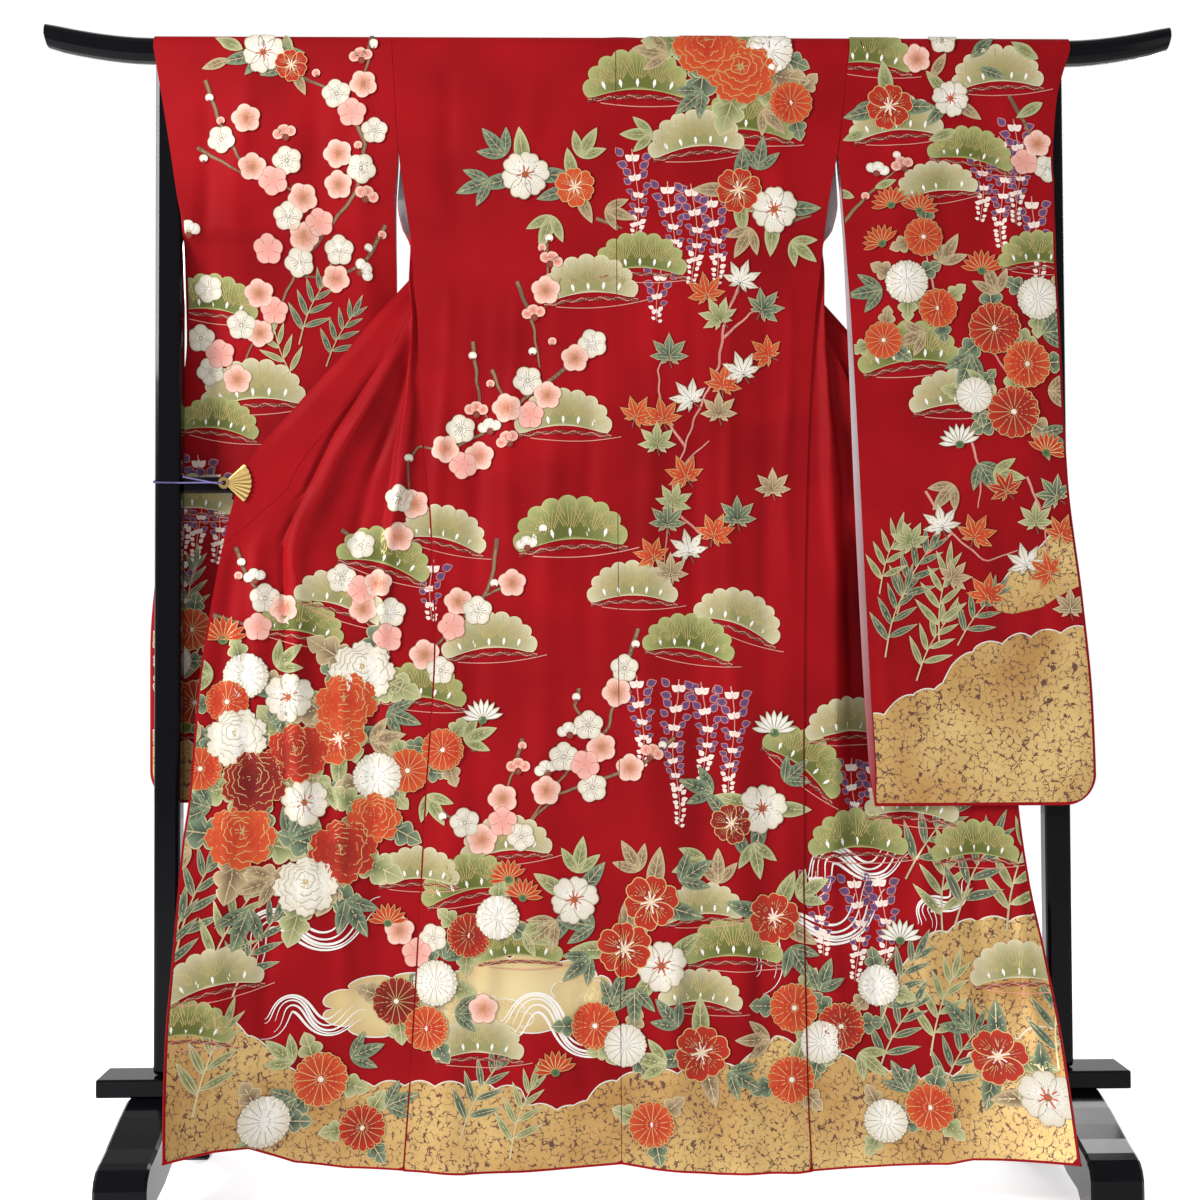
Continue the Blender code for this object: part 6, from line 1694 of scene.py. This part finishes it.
def scalloped(rows, bite=0.9, wide=4.2):
    """Top of a gold ground with round bites along it: lobes of |sin| added to the curve."""
    x = np.linspace(rows["x"][0], rows["x"][-1], 400)
    return x, np.interp(x, rows["x"], rows["high"]) + bite * (np.abs(np.sin(pi * x / wide)) ** 0.7 - 0.6)


def ground(rows, cell=0.7):
    """Gold ground: a sheet of cells from its lower edge, which is a curve, one height or, where
    none is given, a line a little below the hem, up to its scalloped top."""
    x0, x1 = rows["x"][0], rows["x"][-1]
    x = np.linspace(x0, x1, int((x1 - x0) / cell) + 1)
    high = np.interp(x, *scalloped(rows))
    if "low" in rows:
        low = np.interp(x, rows["x"], np.broadcast_to(rows["low"], len(rows["x"])))
    else:
        low = hem_at(x / 100) * 100 - 0.5
    share = np.linspace(0, 1, max(2, int((high - low).max() / cell)))[:, None]
    z = low + (high - low) * share
    points = np.stack([x + 0 * z, z], -1).reshape(-1, 2)
    quads = grid_faces(*z.shape, False)
    faces = np.concatenate([quads[:, [0, 1, 2]], quads[:, [0, 2, 3]]])
    inks = np.tile(GROUND_INK, (len(faces), 3, 1))
    return points[faces], inks, np.full((len(faces), 3), float(GOLD_LIFT))


def page_surface(side):
    """y of a front at (x, z) by Newton steps for the share that gives x."""
    def surface(x, z):
        x0 = front_side(side, z)[0]
        x1 = page_edge(side, z)
        s = np.clip((x - x0) / (x1 - x0), 0, 1)
        for _ in range(4):
            here = front_point(side, s, z)[..., 0]
            slope = (front_point(side, s + 0.01, z)[..., 0] - front_point(side, s - 0.01, z)[..., 0]) / 0.02
            s = np.clip(s - (here - x) / slope, 0, 1)
        return front_point(side, s, z)[..., 1]
    return surface


def sleeve_surface(side, layer):
    """y of a sleeve layer at (x, z): the share across found from its two edges."""
    def surface(x, z):
        inner = sleeve_layer(side, layer, np.zeros_like(x), z)[..., 0]
        outer = sleeve_layer(side, layer, np.ones_like(x), z)[..., 0]
        w = np.clip((x - inner) / (outer - inner), 0, 1)
        return sleeve_layer(side, layer, w, z)[..., 1]
    return surface


def on_back(x, z):
    """Above zero inside the back: between its side seams, above the hem, below the bar's top."""
    x, z = x / 100, z / 100
    left, right = back_side("left", z) + SIDE_CLEAR, back_side("right", z) - SIDE_CLEAR
    return np.minimum.reduce([x - left, right - x, z - hem_at(x) - HEM_CLEAR, SHOULDER_Z + OVER_BAR - z])


def half_back(way):
    """The back's outline cut at the centre seam: way is -1 for the left half."""
    return lambda x, z: np.minimum(on_back(x, z), way * (x / 100 - CENTRE_X) - SEAM_CLEAR)


def on_page(side):
    """Above zero on a front below the height where it lies open like a page."""
    def field(x, z):
        x, z = x / 100, z / 100
        sign = -1 if side == "left" else 1
        inner = back_side(side, z) + sign * 0.0010
        outer = page_edge(side, z) - sign * EDGE_CLEAR
        return np.minimum.reduce([sign * (x - inner), sign * (outer - x), z - hem_at(x) - HEM_CLEAR,
                                  PAGE_TOP - z])
    return field


def on_sleeve(side, layer="near"):
    """Above zero inside a sleeve layer."""
    def field(x, z):
        x, z = x / 100, z / 100
        low = np.clip(z, SLEEVES[side]["bottom"], SHOULDER_Z)
        inner = sleeve_layer(side, layer, np.zeros_like(x), low)[..., 0]
        outer = sleeve_layer(side, layer, np.ones_like(x), low)[..., 0]
        sign = -1 if side == "left" else 1
        return np.minimum.reduce([sign * (x - inner) - SIDE_CLEAR, sign * (outer - x) - EDGE_CLEAR,
                                  z - SLEEVES[side]["bottom"] - FOOT_CLEAR, SHOULDER_Z + OVER_BAR - z])
    return field


def on_front_upper(side):
    """Above zero on the hanging upper front, between its side edge and the collar."""
    def field(x, z):
        x, z = x / 100, z / 100
        sign = -1 if side == "left" else 1
        share = seam_share(side, "collar", z)
        x0 = front_side(side, z)[0]
        x1 = page_edge(side, z)
        seam = x0 + (x1 - x0) * share
        return np.minimum.reduce([sign * (x0 - x) - FOOT_CLEAR, sign * (x - seam) - FOOT_CLEAR,
                                  z - UPPER_FOOT, SHOULDER_Z - z])
    return field


def edging(rows):
    """Pale line along the scalloped top of a gold ground."""
    return strokes(np.stack(scalloped(rows), -1)[None], 0.15, WHITE * 0.9, 1.0, gold=0.3)


def pale_cloud(x, z, half_wide, half_high):
    """Cloud of pale gold: an oval with a scalloped edge, under every flower."""
    outline = lobed(9, 0.16, 90, 0.5) * [half_wide, half_high]
    cloud = joined(blob(outline, rgb(236, 216, 164), rgb(214, 184, 128), rings=(0.3, 0.6, 0.8, 1.0),
                        gold=0.25), ringed(outline, 0.16, WHITE * 0.9, 0.5, gold=0.3))
    return placed(cloud, x, z, lift=CLOUD_LIFT)


lacquer = lacquer_finish()
gilt = gilt_finish()
red = red_silk("red crepe silk", rgb(142, 8, 16), rgb(168, 15, 24))
red_edge = red_silk("red hem silk", rgb(150, 10, 18), rgb(178, 20, 30))
lining = lining_silk()
print_silk = printed_silk()
leaf_gold = gold_ground()

STAND = ("top_bar", "post_left", "post_right", "middle_rail", "stretcher_plank", "foot_left", "foot_right")
finishes = {**dict.fromkeys(STAND, lacquer), "clip": gilt}
for node, finish in finishes.items():
    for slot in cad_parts[node].material_slots:
        slot.material = finish

CLOTH = [red, lining, red_edge]
BAND = [red, red, red_edge]
sheets = {}
hem_rolls = {}
for side in ("left", "right"):
    turned = side == "right"
    sheets["body_" + side] = shell("cloth_body_" + side, body_grids(side), (turned, turned), CLOTH)
    sheets["okumi_" + side] = shell("cloth_okumi_" + side, [okumi_grid(side)], (turned,), CLOTH)
    sheets["sleeve_" + side] = shell("cloth_sleeve_" + side, sleeve_grids(side), (turned, not turned),
                                     CLOTH)
    sheets["collar_" + side] = shell("cloth_collar_" + side, [collar_grid(side)], (turned,), BAND,
                                     BAND_WALL)
sheets["collar_back"] = shell("cloth_collar_back", [back_collar_grid()], (False,), BAND, BAND_WALL)

# the padded hem edge: a thin red roll along the foot of each panel
for side in ("left", "right"):
    back, front = body_grids(side)
    edge = okumi_grid(side)[-1]
    for node, rows in (("body", [back[-1], front[-1]]), ("okumi", [edge])):
        rolls = [tube(row + [0, -0.0002, 0.0004], HEM_ROLL, 8) for row in rows]
        starts = np.cumsum([0] + [len(points) for points, _ in rolls])
        roll = new_piece("hem_roll_%s_%s" % (node, side), np.concatenate([points for points, _ in rolls]),
                         [quads + start for (_, quads), start in zip(rolls, starts)], [red_edge])
        hem_rolls[node + "_" + side] = roll

print_pieces = {}
body_gold = (GOLD_HEM, GOLD_LOBE)
waters = [placed(water(long, high), x, z, 1.0, turn) for x, z, long, high, turn in WATER]
body = joined(laid_out(BODY), *waters, *map(edging, body_gold), *[pale_cloud(*row) for row in PALE_CLOUDS])
gold = joined(*map(ground, body_gold))
surfaces = {
    "back_left": (half_back(-1), back_depth, "body_left"),
    "back_right": (half_back(1), back_depth, "body_right"),
    "page_left": (on_page("left"), page_surface("left"), "body_left"),
    "page_right": (on_page("right"), page_surface("right"), "body_right"),
}
for place, (field, surface, carrier) in surfaces.items():
    for kind, motifs, finish in (("print_", body, print_silk), ("gold_", gold, leaf_gold)):
        piece = lay(kind + place, clipped(motifs, field), surface, -1, finish)
        print_pieces[kind + place] = (piece, carrier)

for side, table, sleeve_gold in (("left", SLEEVE_LEFT, [GOLD_LEFT_SLEEVE]),
                                 ("right", SLEEVE_RIGHT, [GOLD_SLEEVE, GOLD_SLEEVE_LOBE])):
    gold = joined(*map(ground, sleeve_gold))
    main = {kind: rows for kind, rows in table.items() if kind in FAR_KINDS}
    for layer, facing, rows in (("near", -1, table), ("far", 1, main)):
        field = on_sleeve(side, layer)
        surface = sleeve_surface(side, layer)
        motifs_here = joined(laid_out(rows), *map(edging, sleeve_gold))
        for kind, motifs, finish in (("print_", motifs_here, print_silk), ("gold_", gold, leaf_gold)):
            name = kind + "sleeve_%s_%s" % (side, layer)
            piece = lay(name, clipped(motifs, field), surface, facing, finish)
            print_pieces[name] = (piece, "sleeve_" + side)

upper = laid_out(FRONT_UPPER)
for side in ("left", "right"):
    name = "print_front_" + side
    piece = lay(name, clipped(upper, on_front_upper(side)), page_surface(side), 1, print_silk)
    print_pieces[name] = (piece, "body_" + side)


def cord_route():
    """The tie cord's points, through the clip's ring, along to the left post, round it above
    the middle rail and back."""
    origin, along, across = clip_frame()
    r = CORD_RADIUS + FIT + 0.0002
    left = -POST_X - POST_WIDE / 2 - r
    right = -POST_X + POST_WIDE / 2 + r
    near = -POST_DEEP / 2 - r
    far = POST_DEEP / 2 + r
    over = RAIL_Z + RAIL_TALL / 2 + r + 0.0008
    deep = BAND_WALL / 2 + 0.0008 + CLIP_LEAF + 0.0006 + r
    beyond = origin - along * (RING_OUT + r)
    route = [
        origin - across * deep * 0.9 - along * 0.0014,
        origin - across * 0.0010,
        origin + across * deep * 0.9 - along * 0.0014,
        beyond + across * deep,
        (right + 0.0020, -RAIL_DEEP / 2 - r - 0.0030, over - 0.0030),
        (right + 0.0006, -RAIL_DEEP / 2 + 0.0010, over),
        (right, far - 0.0040, over),
        (right - 0.0040, far, over),
        (left + 0.0040, far, over),
        (left, far - 0.0040, over - 0.0010),
        (left, near + 0.0040, CLIP_Z + 0.0040),
        (left + 0.0040, near, CLIP_Z + 0.0036),
        (right - 0.0040, near, CLIP_Z + 0.0030),
        beyond - across * deep,
    ]
    return np.array(route, float)


def rounded(route, spacing):
    """Closed route cut into short steps, its corners eased by averaging near points."""
    parts = []
    for start, end in zip(route, np.roll(route, -1, 0)):
        steps = max(2, int(np.linalg.norm(end - start) / spacing))
        parts.append(start + (end - start) * np.linspace(0, 1, steps, endpoint=False)[:, None])
    path = np.concatenate(parts)
    for _ in range(2):
        path = (np.roll(path, 1, 0) + 2 * path + np.roll(path, -1, 0)) / 4
    return path


def clip_frame():
    """The clip's ring centre, beyond the cloth's edge, and the directions along and across
    the cloth there."""
    share = np.array([0.90, 0.97, 0.93, 0.93])
    z = np.array([CLIP_Z, CLIP_Z, CLIP_Z + 0.012, CLIP_Z - 0.012])
    inner, outer, high, low = front_point("left", share, z)
    along = (inner - outer) / np.linalg.norm(inner - outer)
    up = high - low
    up = up - along * (up @ along)
    up[0] = up[0] * 0.2
    up /= np.linalg.norm(up)
    along[2] = 0
    along = along - up * (along @ up)
    along /= np.linalg.norm(along)
    middle = front_point("left", np.array([0.93]), np.array([CLIP_Z]))[0]
    edge = front_point("left", np.array([1.0]), np.array([CLIP_Z]))[0]
    reach = (middle - edge) @ along + CLIP_BEYOND
    return middle - along * reach, along, np.cross(up, along)


path = rounded(cord_route(), CORD_STEP)
points, quads = tube(path, CORD_RADIUS, 12, closed=True, twist=2 * pi / PLY_TURN, strands=2)
cord_piece = new_piece("twisted_tie_cord", points, [quads], [cord_finish()])
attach(cord_piece, "root")
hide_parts("tie_cord")

# the cloth, its print and its hem rolls hang from the root, and the solids' cloth parts are hidden
for node, piece in sheets.items():
    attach(piece, "root")
    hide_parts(node)
for piece, carrier in print_pieces.values():
    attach(piece, "root")
for node, piece in sheets.items():
    kind = node if node == "collar_back" else node.split("_")[0]
    mine = [made for made, carrier in print_pieces.values() if carrier == node]
    if node in hem_rolls:
        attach(hem_rolls[node], "root")
        mine.append(hem_rolls[node])


def area_light(name, place, aim, size, power):
    """White lamp at a place, turned towards a point."""
    data = bpy.data.lights.new(name, "AREA")
    data.shape = "RECTANGLE"
    data.size, data.size_y = size
    data.energy = power
    lamp = bpy.data.objects.new(name, data)
    bpy.context.scene.collection.objects.link(lamp)
    lamp.location = place
    lamp.rotation_euler = (Vector(aim) - Vector(place)).to_track_quat("-Z", "Y").to_euler()


area_light("key", (-2.8, -1.7, 2.2), (0.0, 0.0, 0.8), (0.8, 1.3), 185)
area_light("fill", (2.2, -2.6, 1.2), (0.0, 0.0, 0.8), (1.0, 2.0), 12)
area_light("rear", (0.8, 2.6, 2.4), (0.0, 0.0, 1.0), (2.0, 1.2), 60)

AMBIENT = 0.62             # strength of the white surroundings as a light
world = bpy.data.worlds.new("white studio")
bpy.context.scene.world = world
world.use_nodes = True
backdrop = world.node_tree.nodes["Background"]
set_inputs(backdrop, Color=(1.0, 1.0, 1.0, 1.0))
# the backdrop is seen white, and lights the cloth less than it shows
seen = add_node(world, "ShaderNodeLightPath")
strength = add_node(world, "ShaderNodeMapRange", To_Min=AMBIENT, To_Max=1.0)
wire(world, (seen, "Is Camera Ray", strength, "Value"), (strength, "Result", backdrop, "Strength"))
bpy.context.scene.view_settings.view_transform = "Standard"

FLOOR_HALF = 6.0
floor_finish, _ = new_material("pale floor", (0.86, 0.86, 0.86), 0.8,
                               Emission_Color=(1.0, 1.0, 1.0, 1.0), Emission_Strength=0.45)
corners = np.array([(-1, -1, 0), (1, -1, 0), (1, 1, 0), (-1, 1, 0)]) * FLOOR_HALF
floor = new_piece("floor", corners, [np.array([[0, 1, 2, 3]])], [floor_finish])

# camera: fitted to the stand's corners in the photo, 1200 by 1200
EYE = (-0.0764, -2.6, 0.7625)
YAW, PITCH, ROLL = 0.02194, 0.0295, -0.00431
LENS = 54.67
forward = Vector((sin(YAW) * cos(PITCH), cos(YAW) * cos(PITCH), sin(PITCH)))
right = Vector((cos(YAW), -sin(YAW), 0.0))
up = right.cross(forward)
right_rolled = right * cos(ROLL) + up * sin(ROLL)
up_rolled = up * cos(ROLL) - right * sin(ROLL)
lens = bpy.data.cameras.new("camera")
lens.lens = LENS
lens.sensor_width = 36.0
camera = bpy.data.objects.new("camera", lens)
bpy.context.scene.collection.objects.link(camera)
turn = Matrix((right_rolled, up_rolled, -forward)).transposed()
camera.matrix_world = Matrix.Translation(EYE) @ turn.to_4x4()
bpy.context.scene.camera = camera
